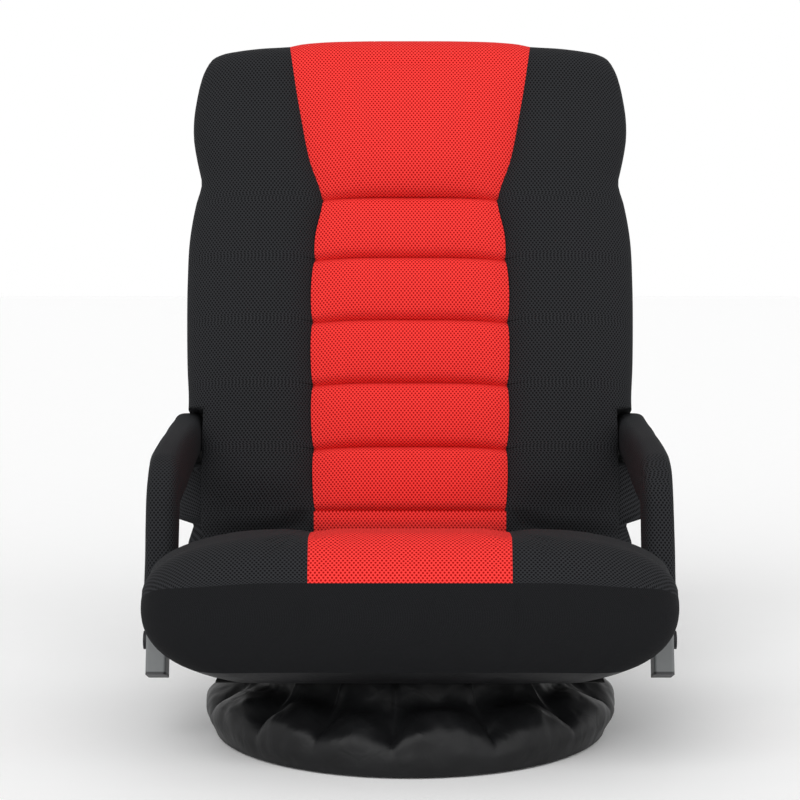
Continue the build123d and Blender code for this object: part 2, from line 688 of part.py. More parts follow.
def hinge_cheeks():
    rail_rear = FRAME_REAR_Y - CHEEK_OVERLAP
    outline = [
        (rail_rear, FRAME_Z),
        (rail_rear, FRAME_TOP_Z),
        (FRAME_REAR_Y - FRAME_TUBE, FRAME_TOP_Z),
        on_cheek(CHEEK_TOP_TOUCH),
        (AXIS_Y, AXIS_Z),
        on_cheek(CHEEK_LOW_TOUCH),
        (FRAME_REAR_Y, FRAME_Z),
    ]
    cheeks = []
    for x0 in (FRAME_HALF_WIDTH - FRAME_TUBE / 2 - CHEEK_THICKNESS, FRAME_HALF_WIDTH + FRAME_TUBE / 2):
        x1 = x0 + CHEEK_THICKNESS
        cheek = plate_x(outline, x0, x1) + rod_x(CHEEK_RADIUS, x0, x1, AXIS_Y, AXIS_Z)
        cheek -= rod_x(HINGE_PIN_RADIUS, x0 - OVERCUT, x1 + OVERCUT, AXIS_Y, AXIS_Z)
        cheek -= rod_x(PAWL_PIN_RADIUS, x0 - OVERCUT, x1 + OVERCUT, *pawl_pivot())
        cheeks.append(cheek.solid())
    return Compound(cheeks)


def hinge_span():
    """Where the outer faces of the two cheeks are."""
    half = FRAME_TUBE / 2 + CHEEK_THICKNESS
    return FRAME_HALF_WIDTH - half, FRAME_HALF_WIDTH + half


def hinge_pin():
    x0, x1 = hinge_span()
    head = HINGE_PIN_RADIUS + PIN_HEAD_STEP
    pin = rod_x(HINGE_PIN_RADIUS, x0, x1, AXIS_Y, AXIS_Z)
    pin += rod_x(head, x0 - PIN_HEAD_THICKNESS, x0, AXIS_Y, AXIS_Z)
    pin += rod_x(head, x1, x1 + PIN_HEAD_THICKNESS, AXIS_Y, AXIS_Z)
    return pin


def hinge_spacers():
    room = (FRAME_TUBE - WHEEL_THICKNESS) / 2
    spacers = []
    for x0 in (FRAME_HALF_WIDTH - FRAME_TUBE / 2, FRAME_HALF_WIDTH + WHEEL_THICKNESS / 2 + GAP):
        x1 = x0 + room - GAP
        spacer = rod_x(HINGE_PIN_RADIUS + SPACER_WALL, x0, x1, AXIS_Y, AXIS_Z)
        spacer -= rod_x(HINGE_PIN_RADIUS, x0 - OVERCUT, x1 + OVERCUT, AXIS_Y, AXIS_Z)
        spacers.append(spacer.solid())
    return spacers


def pawl_pivot():
    """Centre of the pawl's pin: below its nose, which points at the hinge axis."""
    nose_y = AXIS_Y - WHEEL_RADIUS - PAWL_LIFT
    return nose_y - PAWL_NOSE - PAWL_WIDTH / 2, AXIS_Z - PAWL_LEVER


def ratchet_wheel():
    """Notched disc and arm that carry one foot of the back frame."""
    x0 = FRAME_HALF_WIDTH - WHEEL_THICKNESS / 2
    x1 = FRAME_HALF_WIDTH + WHEEL_THICKNESS / 2
    wheel = rod_x(WHEEL_RADIUS, x0, x1, 0, 0)
    wheel += block(x0, x1, -WHEEL_ARM_WIDTH / 2, WHEEL_ARM_WIDTH / 2, 0, WHEEL_ARM_LENGTH)
    wheel -= rod_x(HINGE_PIN_RADIUS + RUNNING, x0 - OVERCUT, x1 + OVERCUT, 0, 0)
    for k in range(DETENT_COUNT):
        angle = LEAN + DETENT_STEP * (k - 1)
        notch = block(
            x0 - OVERCUT, x1 + OVERCUT, -WHEEL_RADIUS - OVERCUT, -WHEEL_RADIUS + NOTCH_DEPTH,
            -NOTCH_WIDTH / 2, NOTCH_WIDTH / 2,
        )
        wheel -= Rot(angle, 0, 0) * notch
    return back_place * wheel


def pawl():
    """Catch that drops into the wheel's notches, drawn lifted clear of them."""
    y, z = pawl_pivot()
    half = PAWL_WIDTH / 2
    x0 = FRAME_HALF_WIDTH - WHEEL_THICKNESS / 2 + GAP
    x1 = FRAME_HALF_WIDTH + WHEEL_THICKNESS / 2 - GAP
    nose = NOTCH_WIDTH / 2 - PAWL_NOSE_EASE
    nose_z = AXIS_Z + PAWL_NOSE_RISE
    body = block(x0, x1, y - half, y + half, z, AXIS_Z + half)
    body += rod_x(half, x0, x1, y, z)
    body += block(x0, x1, y, y + half + PAWL_NOSE, nose_z - nose, nose_z + nose)
    return body - rod_x(PAWL_PIN_RADIUS + RUNNING, x0 - OVERCUT, x1 + OVERCUT, y, z)


def pawl_pin():
    x0, x1 = hinge_span()
    return rod_x(PAWL_PIN_RADIUS, x0, x1, *pawl_pivot())


def pawl_spring():
    """Leaf spring riveted to the inner cheek, lying against the back of the pawl."""
    y, z = pawl_pivot()
    x0 = FRAME_HALF_WIDTH - FRAME_TUBE / 2
    x1 = FRAME_HALF_WIDTH + WHEEL_THICKNESS / 2
    rear = y - PAWL_WIDTH / 2 - GAP
    return block(x0, x1, rear - SPRING_THICKNESS, rear, z + PAWL_LEVER / 2, AXIS_Z + PAWL_WIDTH / 2)


# Back frame, built upright with the recline axis at its origin


def bent_back_bar(section, foot):
    """A section swept up one side of the back, over its top and down the other, from a height."""
    x = FRAME_HALF_WIDTH
    corners = [(-x, 0, foot), (-x, 0, BACK_FRAME_TOP), (x, 0, BACK_FRAME_TOP), (x, 0, foot)]
    path = FilletPolyline(*corners, radius=BACK_FRAME_BEND)
    return sweep(Plane(origin=corners[0], z_dir=(0, 0, 1)) * section, path=path)


def back_frame():
    ring = Circle(BACK_TUBE_RADIUS) - Circle(BACK_TUBE_RADIUS - BACK_TUBE_WALL)
    tube = bent_back_bar(ring, CHEEK_RADIUS + 2 * LOOSE)
    for cut in (wheel_arm_room(), stud_core()):
        tube -= cut
        tube -= mirrored(cut)
    return tube


def back_tube_solid():
    """One upright of the back frame as a solid bar, to cope what meets it."""
    return rod_z(BACK_TUBE_RADIUS, FRAME_HALF_WIDTH, 0, 0, BACK_FRAME_TOP - BACK_FRAME_BEND)


def back_cross_tubes():
    tubes = []
    for height in BACK_CROSS_HEIGHTS:
        tube = rod_x(BACK_CROSS_RADIUS, -FRAME_HALF_WIDTH, FRAME_HALF_WIDTH, 0, height)
        tube -= rod_x(BACK_CROSS_RADIUS - BACK_TUBE_WALL, -FRAME_HALF_WIDTH, FRAME_HALF_WIDTH, 0, height)
        tube -= back_tube_solid()
        tube -= mirrored(back_tube_solid())
        tubes.append(tube.solid())
    return Compound(tubes)


def back_webbing():
    half = FRAME_HALF_WIDTH + BACK_TUBE_RADIUS
    straps = []
    for height in BACK_STRAP_HEIGHTS:
        strap = block(
            -half, half, -BACK_TUBE_RADIUS - WEBBING_THICKNESS, -BACK_TUBE_RADIUS,
            height - WEBBING_WIDTH / 2, height + WEBBING_WIDTH / 2,
        )
        straps.append(strap.solid())
    return Compound(straps)


# Back cushion, built upright with the recline axis at its origin


def back_outline(inset, depth):
    """The back seen from the front, extruded through depth either way."""
    low = BACK_LOW_HALF_WIDTH - inset
    wide = BACK_WIDE_HALF_WIDTH - inset
    notch = BACK_NOTCH_HALF_WIDTH - inset
    head = BACK_HEAD_HALF_WIDTH - inset
    top = BACK_HEIGHT - inset
    bottom = -KNUCKLE_RADIUS - OVERCUT
    wide_height = (BACK_LOW_HEIGHT + BACK_NOTCH_HEIGHT) / 2 - BACK_WAIST_DROP
    head_height = (BACK_NOTCH_HEIGHT + BACK_HEIGHT) / 2 - BACK_BROW_DROP
    corner_in, corner_down = zip(*BACK_HEAD_CORNER)

    def side(s):
        return [
            (s * low, 0, bottom),
            (s * low, 0, BACK_LOW_HEIGHT),
            (s * wide, 0, wide_height),
            (s * notch, 0, BACK_NOTCH_HEIGHT),
            (s * head, 0, head_height),
            (s * (head - corner_in[0]), 0, BACK_HEIGHT - corner_down[0]),
            (s * (head - corner_in[1]), 0, top - corner_down[1]),
            (s * (head - corner_in[2]), 0, top - corner_down[2]),
        ]

    a, b = side(1), side(-1)
    edges = [
        Line(a[0], a[1]),
        ThreePointArc(a[1], a[2], a[3]),
        ThreePointArc(a[3], a[4], a[5]),
        ThreePointArc(a[5], a[6], a[7]),
        ThreePointArc(a[7], (0, 0, top), b[7]),
        ThreePointArc(b[7], b[6], b[5]),
        ThreePointArc(b[5], b[4], b[3]),
        ThreePointArc(b[3], b[2], b[1]),
        Line(b[1], b[0]),
        Line(b[0], a[0]),
    ]
    face = make_face(Wire(edges).edges())
    return extrude(face, amount=depth, dir=(0, 1, 0), both=True)


def back_profile(rear_inset):
    """The back seen from the side, extruded across its width: a slab on a round lower end."""
    side = BACK_WIDE_HALF_WIDTH + REACH
    slab = plate_x(
        [
            (-BACK_FRONT, 0),
            (BACK_REAR - rear_inset, 0),
            (BACK_REAR - rear_inset, BACK_LOW_HEIGHT),
            (BACK_TOP_REAR - rear_inset, BACK_HEIGHT + OVERCUT),
            (-BACK_FRONT, BACK_HEIGHT + OVERCUT),
        ],
        -side,
        side,
    )
    return slab + rod_x(KNUCKLE_RADIUS - rear_inset, -side, side, 0, 0)


def hinge_slot():
    """Room for one hinge housing in the round lower end of the back."""
    x0, x1 = hinge_span()
    head = PIN_HEAD_THICKNESS + LOOSE
    return rod_x(KNUCKLE_RADIUS + OVERCUT, x0 - head, x1 + head, 0, 0)


def stud_core():
    """The part of one arm stud that lies inside the back."""
    return rod_x(STUD_SLEEVE_RADIUS, FRAME_HALF_WIDTH, ARM_INSIDE + OVERCUT, 0, STRUT_LENGTH)


def back_foam():
    foam = back_outline(BACK_SKIN, REACH) & back_profile(BACK_SKIN)
    foam -= back_frame_envelope()
    foam -= back_cross_envelope()
    for height in BACK_STRAP_HEIGHTS:
        foam -= strap_room(height)
    for cut in (hinge_slot(), stud_core(), wheel_arm_room()):
        foam -= cut
        foam -= mirrored(cut)
    return foam


def back_frame_envelope():
    """The back frame as a solid bar, so that the foam fits round it."""
    return bent_back_bar(Circle(BACK_TUBE_RADIUS), 0)


def strap_room(height):
    """Room for one strap and the open space behind it."""
    half = FRAME_HALF_WIDTH + BACK_TUBE_RADIUS
    return block(
        -half, half, -BACK_TUBE_RADIUS - WEBBING_THICKNESS, 0,
        height - WEBBING_WIDTH / 2, height + WEBBING_WIDTH / 2,
    )


def back_cross_envelope():
    bars = Part()
    for height in BACK_CROSS_HEIGHTS:
        bars += rod_x(BACK_CROSS_RADIUS, -FRAME_HALF_WIDTH, FRAME_HALF_WIDTH, 0, height)
    return bars


def wheel_arm_room():
    """Room for the arm of one notched wheel."""
    x0 = FRAME_HALF_WIDTH - WHEEL_THICKNESS / 2
    x1 = FRAME_HALF_WIDTH + WHEEL_THICKNESS / 2
    return block(x0, x1, -WHEEL_ARM_WIDTH / 2, WHEEL_ARM_WIDTH / 2, 0, WHEEL_ARM_LENGTH)


def back_boxing():
    """Fabric band round the sides and top of the back."""
    band = back_outline(0, REACH) - back_outline(BACK_SKIN, REACH + OVERCUT)
    band = band & back_profile(BACK_SKIN)
    for cut in (stud_core(), mirrored(stud_core())):
        band -= cut
    return band


def back_rear_cover():
    """Fabric over the rear of the back, round its lower end."""
    skin = back_profile(0) - back_profile(BACK_SKIN)
    side = BACK_WIDE_HALF_WIDTH + 2 * REACH
    front = block(-side, side, -BACK_FRONT - REACH, -BACK_FRONT, 0, BACK_HEIGHT + REACH)
    skin = (skin - front) & back_outline(0, REACH)
    for cut in (hinge_slot(), mirrored(hinge_slot())):
        skin -= cut
    return skin


def red_half_width(height):
    """Half width of the red centre at a height, between the outline's corners."""
    if height <= RED_OUTLINE[0][0]:
        return RED_OUTLINE[0][1]
    for (h0, w0), (h1, w1) in zip(RED_OUTLINE, RED_OUTLINE[1:]):
        if height <= h1:
            return w0 + (w1 - w0) * (height - h0) / (h1 - h0)
    return RED_OUTLINE[-1][1]


def back_half_width(height):
    """Half width of the back's outline, near enough for the bolsters to stay inside it."""
    if height <= BACK_LOW_HEIGHT:
        return BACK_LOW_HALF_WIDTH
    if height <= BACK_NOTCH_HEIGHT:
        share = (height - BACK_LOW_HEIGHT) / (BACK_NOTCH_HEIGHT - BACK_LOW_HEIGHT)
        edge = BACK_LOW_HALF_WIDTH + share * (BACK_NOTCH_HALF_WIDTH - BACK_LOW_HALF_WIDTH)
        return edge + (BACK_WAIST_SWELL - BOLSTER_EASE) * 4 * share * (1 - share)
    share = (height - BACK_NOTCH_HEIGHT) / (BACK_HEIGHT - BACK_NOTCH_HEIGHT)
    swell = BOLSTER_HEAD_SWELL * share * (1 - share)
    return BACK_NOTCH_HALF_WIDTH + swell - BOLSTER_HEAD_ROUNDING * share**4


def pad_section(height, x0, x1, rise):
    """A flat-bottomed, crowned section on the front of the foam."""
    front = -BACK_FRONT
    return Wire(
        [
            Line((x0, front, height), (x1, front, height)),
            ThreePointArc((x1, front, height), ((x0 + x1) / 2, front - rise, height), (x0, front, height)),
        ]
    )


def back_bolster():
    """Padded black side of the back, on the sitter's left."""
    tuck = BACK_TUCK_RISE / BOLSTER_RISE
    full = CHANNEL_LOW + CHANNEL_PITCH / 3
    stations = [(BACK_TUCK_HEIGHT, tuck), (CHANNEL_LOW, tuck), (full, 1.0), (BACK_LOW_HEIGHT, 1.0)]
    thinning = [(CHANNEL_TOP + part * HEADREST_HEIGHT, share) for part, share in BOLSTER_THINNING]
    stations += [(h, 1.0) for h, _ in RED_OUTLINE if full < h < thinning[0][0]]
    stations += [((BACK_LOW_HEIGHT + BACK_NOTCH_HEIGHT) / 2, 1.0), (BACK_NOTCH_HEIGHT, 1.0)]
    stations += [*thinning, (BACK_HEIGHT - BOLSTER_TOP_DROP, BOLSTER_TOP_SHARE)]
    wires = [
        pad_section(h, red_half_width(h) + GAP, back_half_width(h) - BACK_SKIN, BOLSTER_RISE * share)
        for h, share in sorted(set(stations))
    ]
    return Solid.make_loft(wires, True)


def back_headrest_pad():
    """Padded red pillow at the top of the back."""
    stations = [(CHANNEL_TOP + part * HEADREST_HEIGHT, share) for part, share in HEADREST_CROWN]
    wires = [
        pad_section(h, -red_half_width(h), red_half_width(h), HEADREST_RISE * share)
        for h, share in stations
    ]
    return Solid.make_loft(wires, True)


def back_centre_panel():
    """Red centre of the back, sewn into level channels."""
    front = -BACK_FRONT
    seam = front - CHANNEL_SEAM
    edges = [Line((0, front, BACK_TUCK_HEIGHT), (0, front, CHANNEL_TOP))]
    edges.append(Line((0, front, CHANNEL_TOP), (0, seam, CHANNEL_TOP)))
    for k in range(CHANNEL_COUNT):
        top = CHANNEL_TOP - k * CHANNEL_PITCH
        foot = top - CHANNEL_PITCH
        crown = (0, front - CHANNEL_RISE, (top + foot) / 2)
        edges.append(ThreePointArc((0, seam, top), crown, (0, seam, foot)))
    foot = BACK_TUCK_HEIGHT
    tuck = (0, front - BACK_TUCK_RISE, (CHANNEL_LOW + foot) / 2)
    edges.append(ThreePointArc((0, seam, CHANNEL_LOW), tuck, (0, seam, foot)))
    edges.append(Line((0, seam, foot), (0, front, foot)))
    side = RED_MIDDLE_HALF_WIDTH + REACH
    panel = extrude(make_face(edges), amount=side, dir=(1, 0, 0), both=True)
    inner = [h for h, _ in RED_OUTLINE if BACK_TUCK_HEIGHT < h < CHANNEL_TOP]
    heights = [BACK_TUCK_HEIGHT, *inner, CHANNEL_TOP]
    right = [(red_half_width(h), h) for h in heights]
    corners = right + [(-w, h) for w, h in reversed(right)]
    plan = make_face(Polyline(*[(x, 0, z) for x, z in corners], close=True))
    return panel & extrude(plan, amount=BACK_FRONT + REACH, dir=(0, -1, 0))


# Arm on the sitter's left: bracket on the seat frame, strut, arm, stud on the back frame


def arm_bracket():
    half = BRACKET_BAR / 2
    x0 = FRAME_HALF_WIDTH + FRAME_TUBE / 2
    x1 = strut_faces()[0] - GAP
    bar = block(x0, x1, STRUT_PIVOT_Y - half, STRUT_PIVOT_Y + half, FRAME_MID_Z - half, FRAME_MID_Z + half)
    return bar - rod_x(STRUT_BOLT_RADIUS, x0 + BRACKET_SOLID_END, x1 + OVERCUT, *STRUT_PIVOT)


def strut_faces():
    """Inner and outer face of the strut's tube."""
    return ARM_MID_X - STRUT_TUBE_WIDTH / 2, ARM_MID_X + STRUT_TUBE_WIDTH / 2


def strut_bolt():
    x0 = FRAME_HALF_WIDTH + FRAME_TUBE / 2 + BRACKET_SOLID_END
    x1 = strut_faces()[1] + GAP
    bolt = rod_x(STRUT_BOLT_RADIUS, x0, x1, *STRUT_PIVOT)
    return bolt + rod_x(STRUT_BOLT_RADIUS + STRUT_BOLT_HEAD, x1, x1 + STRUT_BOLT_HEAD, *STRUT_PIVOT)


def strut_tube():
    """Grey rectangular tube with two ears at the elbow, built upright on its lower pivot."""
    x0, x1 = strut_faces()
    in0, in1 = x0 + TUBE_WALL, x1 - TUBE_WALL
    half = STRUT_TUBE_DEPTH / 2
    ear = half - EAR_STEP
    bore = half - TUBE_WALL
    top = STRUT_LENGTH - ARM_TUBE_HEIGHT / 2 - EAR_ROOM
    tube = block(x0, x1, -half, half, -STRUT_TAIL, top)
    tube = fillet(tube.edges().filter_by(Axis.Z), STRUT_CORNER)
    tube += block(x0, x1, -ear, ear, top - OVERCUT, STRUT_LENGTH)
    tube += rod_x(ear, x0, x1, 0, STRUT_LENGTH)
    tube -= block(in0, in1, -bore, bore, -STRUT_TAIL - OVERCUT, top)
    tube -= block(in0, in1, -half - OVERCUT, half + OVERCUT, top, STRUT_LENGTH + half + OVERCUT)
    tube -= rod_x(STRUT_BOLT_RADIUS + RUNNING, x0 - OVERCUT, x1 + OVERCUT, 0, 0)
    tube -= rod_x(PIVOT_RADIUS, x0 - OVERCUT, x1 + OVERCUT, 0, STRUT_LENGTH)
    return tube


def strut_plug():
    """Plastic plug in the strut's lower end."""
    x0, x1 = strut_faces()
    half = STRUT_TUBE_DEPTH / 2
    wall = TUBE_WALL + RUNNING
    plug = block(x0, x1, -half, half, -STRUT_TAIL - PLUG_THICKNESS, -STRUT_TAIL)
    plug = fillet(plug.edges().filter_by(Axis.Z), STRUT_CORNER)
    insert = block(x0 + wall, x1 - wall, -half + wall, half - wall, -STRUT_TAIL, -STRUT_TAIL + PLUG_INSERT)
    return plug + insert


def strut_pad():
    """Foam sleeve on the strut."""
    x0, x1 = strut_faces()
    half = STRUT_PAD_DEPTH / 2
    top = STRUT_LENGTH - ARM_PAD_RADIUS - STRUT_PAD_GAP
    pad = block(ARM_INSIDE, ARM_INSIDE + ARM_WIDTH, -half, half, STRUT_PAD_START, top)
    pad = fillet(pad.edges().filter_by(Axis.Z), STRUT_PAD_CORNER)
    core = block(x0, x1, -STRUT_TUBE_DEPTH / 2, STRUT_TUBE_DEPTH / 2, 0, STRUT_LENGTH)
    return pad - fillet(core.edges().filter_by(Axis.Z), STRUT_CORNER)


def elbow_pin():
    """Pin through the strut's ears and the front end of the arm."""
    x0, x1 = strut_faces()
    pin = rod_x(PIVOT_RADIUS, x0, x1, 0, STRUT_LENGTH)
    for head in (x0 - PIVOT_HEAD, x1):
        pin += rod_x(PIVOT_RADIUS + PIVOT_HEAD, head, head + PIVOT_HEAD, 0, STRUT_LENGTH)
    return pin


def arm_bar(width, height):
    """A bar with round ends from the elbow to the back's stud, built level from the elbow."""
    x0 = ARM_MID_X - width / 2
    x1 = ARM_MID_X + width / 2
    bar = block(x0, x1, 0, LINK_LENGTH, -height / 2, height / 2)
    return bar + rod_x(height / 2, x0, x1, 0, 0) + rod_x(height / 2, x0, x1, LINK_LENGTH, 0)


def arm_tube():
    inner = arm_bar(ARM_TUBE_WIDTH - 2 * TUBE_WALL, ARM_TUBE_HEIGHT - 2 * TUBE_WALL)
    tube = arm_bar(ARM_TUBE_WIDTH, ARM_TUBE_HEIGHT) - inner
    x0 = ARM_MID_X - ARM_TUBE_WIDTH
    x1 = ARM_MID_X + ARM_TUBE_WIDTH
    for y in (0, LINK_LENGTH):
        tube -= rod_x(PIVOT_RADIUS + RUNNING, x0, x1, y, 0)
    return tube


def arm_pad():
    """Padded arm with round ends, built level from the elbow."""
    x0, x1 = ARM_INSIDE, ARM_INSIDE + ARM_WIDTH
    pad = arm_bar(ARM_WIDTH, 2 * ARM_PAD_RADIUS)
    strut_in, strut_out = strut_faces()
    side_room = PIVOT_HEAD + LOOSE
    rear = STRUT_TUBE_DEPTH / 2 + STRUT_PAD_GAP
    pad -= block(strut_in - side_room, strut_out + side_room, -REACH, rear, -REACH, REACH)
    pad -= rod_x(STUD_SLEEVE_RADIUS + LOOSE, x0 - OVERCUT, x1 + OVERCUT, LINK_LENGTH, 0)
    return pad - arm_bar(ARM_TUBE_WIDTH, ARM_TUBE_HEIGHT)


def arm_stud():
    """Stepped stud on the back frame that carries the rear end of the arm."""
    shoulder = ARM_MID_X - ARM_TUBE_WIDTH / 2 - GAP
    end = ARM_MID_X + ARM_TUBE_WIDTH / 2 + GAP
    stud = rod_x(STUD_SLEEVE_RADIUS, FRAME_HALF_WIDTH, shoulder, 0, STRUT_LENGTH)
    return stud + rod_x(PIVOT_RADIUS, shoulder, end + NUT_HEIGHT, 0, STRUT_LENGTH)


def arm_nut():
    x0 = ARM_MID_X + ARM_TUBE_WIDTH / 2 + GAP
    hexagon = Plane.YZ.offset(x0) * Pos(0, STRUT_LENGTH) * RegularPolygon(NUT_RADIUS, 6)
    nut = extrude(hexagon, amount=NUT_HEIGHT)
    return nut - rod_x(PIVOT_RADIUS, x0 - OVERCUT, x0 + NUT_HEIGHT + OVERCUT, 0, STRUT_LENGTH)


def both(shapes):
    """The given solids and their mirror images, as one group."""
    found = [s for shape in shapes for s in shape.solids()]
    return Compound(found + [s for solid in found for s in mirrored(solid).solids()])


nodes = {
    "base_foot_ring": base_foot_ring(),
    "base_ring": base_ring(),
    "base_cross_tube": base_tube_y(),
    "base_side_tubes": base_tubes_x(),
    "base_cover": base_cover(),
    "swivel_lower_plate": swivel_lower_plate(),
    "swivel_lower_screws": swivel_lower_screws(),
    "swivel_balls": swivel_balls(),
    "swivel_rivet": swivel_rivet(),
    "swivel_upper_plate": swivel_upper_plate(),
    "swivel_upper_screws": swivel_upper_screws(),
    "seat_frame": seat_frame(),
    "seat_cross_bars": seat_cross_bars(),
    "seat_webbing": seat_webbing(),
    "seat_dust_cover": seat_dust_cover(),
    "seat_foam": seat_foam(),
    **seat_cover_panels(),
    "hinge_pins": both([hinge_pin()]),
    "hinge_spacers": both(hinge_spacers()),
    "pawl_pins": both([pawl_pin()]),
    "pawl_springs": both([pawl_spring()]),
    "strut_bolts": both([strut_bolt()]),
    "back_frame": back_place * back_frame(),
    "back_cross_tubes": back_place * back_cross_tubes(),
    "back_webbing": back_place * back_webbing(),
    "back_foam": back_place * back_foam(),
    "back_boxing": back_place * back_boxing(),
    "back_rear_cover": back_place * back_rear_cover(),
    "back_headrest_pad": back_place * back_headrest_pad(),
    "back_centre_panel": back_place * back_centre_panel(),
    "arm_studs": back_place * both([arm_stud()]),
    "arm_nuts": back_place * both([arm_nut()]),
}

handed = {
    "seat_bearer": seat_bearer(),
    "hinge_cheeks": hinge_cheeks(),
    "ratchet_wheel": ratchet_wheel(),
    "pawl": pawl(),
    "back_bolster": back_place * back_bolster(),
    "arm_bracket": arm_bracket(),
    "strut_tube": strut_place * strut_tube(),
    "strut_plug": strut_place * strut_plug(),
    "strut_pad": strut_place * strut_pad(),
    "elbow_pin": strut_place * elbow_pin(),
    "arm_tube": arm_place * arm_tube(),
    "arm_pad": arm_place * arm_pad(),
}
for name, shape in handed.items():
    nodes[name + "_left"] = shape
    nodes[name + "_right"] = mirrored(shape)

os.makedirs("parts", exist_ok=True)
for name, shape in nodes.items():
    export_step(shape, f"parts/{name}.step")
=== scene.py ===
import json
import math

import bpy
import numpy as np
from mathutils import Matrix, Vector, noise


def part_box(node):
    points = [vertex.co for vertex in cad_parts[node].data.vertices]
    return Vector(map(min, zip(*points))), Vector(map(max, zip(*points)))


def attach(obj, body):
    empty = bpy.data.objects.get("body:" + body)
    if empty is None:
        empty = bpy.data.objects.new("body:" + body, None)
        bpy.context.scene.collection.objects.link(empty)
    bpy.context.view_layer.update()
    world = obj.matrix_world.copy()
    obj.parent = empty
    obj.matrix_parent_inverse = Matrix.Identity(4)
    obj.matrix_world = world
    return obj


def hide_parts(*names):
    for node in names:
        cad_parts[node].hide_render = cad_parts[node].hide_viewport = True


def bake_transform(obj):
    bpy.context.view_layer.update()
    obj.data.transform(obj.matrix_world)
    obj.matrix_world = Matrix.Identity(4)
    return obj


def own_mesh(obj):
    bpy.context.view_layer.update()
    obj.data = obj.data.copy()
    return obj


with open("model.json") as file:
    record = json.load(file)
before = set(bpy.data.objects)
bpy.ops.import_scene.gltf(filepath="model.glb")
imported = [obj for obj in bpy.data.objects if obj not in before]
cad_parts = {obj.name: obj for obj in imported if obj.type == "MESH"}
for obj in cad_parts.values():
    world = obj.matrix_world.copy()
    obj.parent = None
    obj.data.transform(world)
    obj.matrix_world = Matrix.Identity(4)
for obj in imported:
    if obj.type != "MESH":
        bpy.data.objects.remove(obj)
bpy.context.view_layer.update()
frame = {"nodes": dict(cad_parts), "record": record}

scene = bpy.context.scene
scene.view_settings.view_transform = "Standard"


# Base: a rubber foot ring under a welded ring of steel tube, with a cross of tubes inside it.
# The steel is painted black, and the rubber is pushed on from below.

def finish(name, colour, roughness, metallic=0.0, grain=900.0, relief=0.00008, mottle=0.15):
    """A painted, plated or moulded surface: fine grain, with tone and gloss slightly uneven."""
    material = bpy.data.materials.new(name)
    material.use_nodes = True
    nodes, links = material.node_tree.nodes, material.node_tree.links
    shader = nodes["Principled BSDF"]
    shader.inputs["Metallic"].default_value = metallic
    place = nodes.new("ShaderNodeTexCoord")
    cloud = nodes.new("ShaderNodeTexNoise")
    cloud.inputs["Scale"].default_value = 24.0
    cloud.inputs["Detail"].default_value = 5.0
    speck = nodes.new("ShaderNodeTexNoise")
    speck.inputs["Scale"].default_value = grain
    for texture in (cloud, speck):
        links.new(place.outputs["Object"], texture.inputs["Vector"])
    tone = nodes.new("ShaderNodeValToRGB")
    tone.color_ramp.elements[0].position = 0.3
    tone.color_ramp.elements[1].position = 0.7
    tone.color_ramp.elements[0].color = [c * (1 - mottle) for c in colour] + [1]
    tone.color_ramp.elements[1].color = [c * (1 + mottle) for c in colour] + [1]
    links.new(cloud.outputs["Fac"], tone.inputs["Fac"])
    links.new(tone.outputs["Color"], shader.inputs["Base Color"])
    gloss = nodes.new("ShaderNodeMapRange")
    gloss.inputs["To Min"].default_value = roughness - 0.06
    gloss.inputs["To Max"].default_value = roughness + 0.08
    links.new(cloud.outputs["Fac"], gloss.inputs["Value"])
    links.new(gloss.outputs["Result"], shader.inputs["Roughness"])
    bump = nodes.new("ShaderNodeBump")
    bump.inputs["Strength"].default_value = 0.5
    bump.inputs["Distance"].default_value = relief
    links.new(speck.outputs["Fac"], bump.inputs["Height"])
    links.new(bump.outputs["Normal"], shader.inputs["Normal"])
    return material


def dress(material, *names):
    """Give CAD pieces their finish."""
    for name in names:
        slots = frame["nodes"][name].data.materials
        slots.clear()
        slots.append(material)


foot_rubber = finish("foot_rubber", (0.018, 0.018, 0.018), 0.8, grain=1500.0, relief=0.0002)
base_paint = finish("base_paint", (0.016, 0.016, 0.017), 0.38)
dress(foot_rubber, "base_foot_ring")
dress(base_paint, "base_ring", "base_cross_tube", "base_side_tubes")


# Swivel: two zinc-plated pressed plates with a ring of balls between them, held by one rivet.
# The lower plate is screwed to the base's cross, the upper one to the seat's bearers.

zinc = finish("zinc_plate", (0.52, 0.53, 0.55), 0.32, metallic=1.0, grain=300.0)
dress(zinc, "swivel_lower_plate", "swivel_upper_plate", "swivel_balls", "swivel_rivet",
      "swivel_lower_screws", "swivel_upper_screws")


# Skirt: thin black nylon satin, cut as a strip and gathered on elastic at both edges.
# It is tacked to the base ring at uneven distances and puffs out between the tacks.

def through(knots, values, at):
    """Read a smooth curve that passes through the given points."""
    knots, values, at = (np.asarray(v, float) for v in (knots, values, at))
    slopes = np.gradient(values, knots)
    span = np.clip(np.searchsorted(knots, at, side="right") - 1, 0, len(knots) - 2)
    width = knots[span + 1] - knots[span]
    t = np.clip((at - knots[span]) / width, 0, 1)
    start = (1 + 2 * t) * (1 - t) ** 2 * values[span] + t * (1 - t) ** 2 * width * slopes[span]
    end = t * t * (3 - 2 * t) * values[span + 1] + t * t * (t - 1) * width * slopes[span + 1]
    return start + end


def ease(low, high, at):
    """A smooth step from 0 at low to 1 at high."""
    t = np.clip((np.asarray(at, float) - low) / (high - low), 0, 1)
    return t * t * (3 - 2 * t)


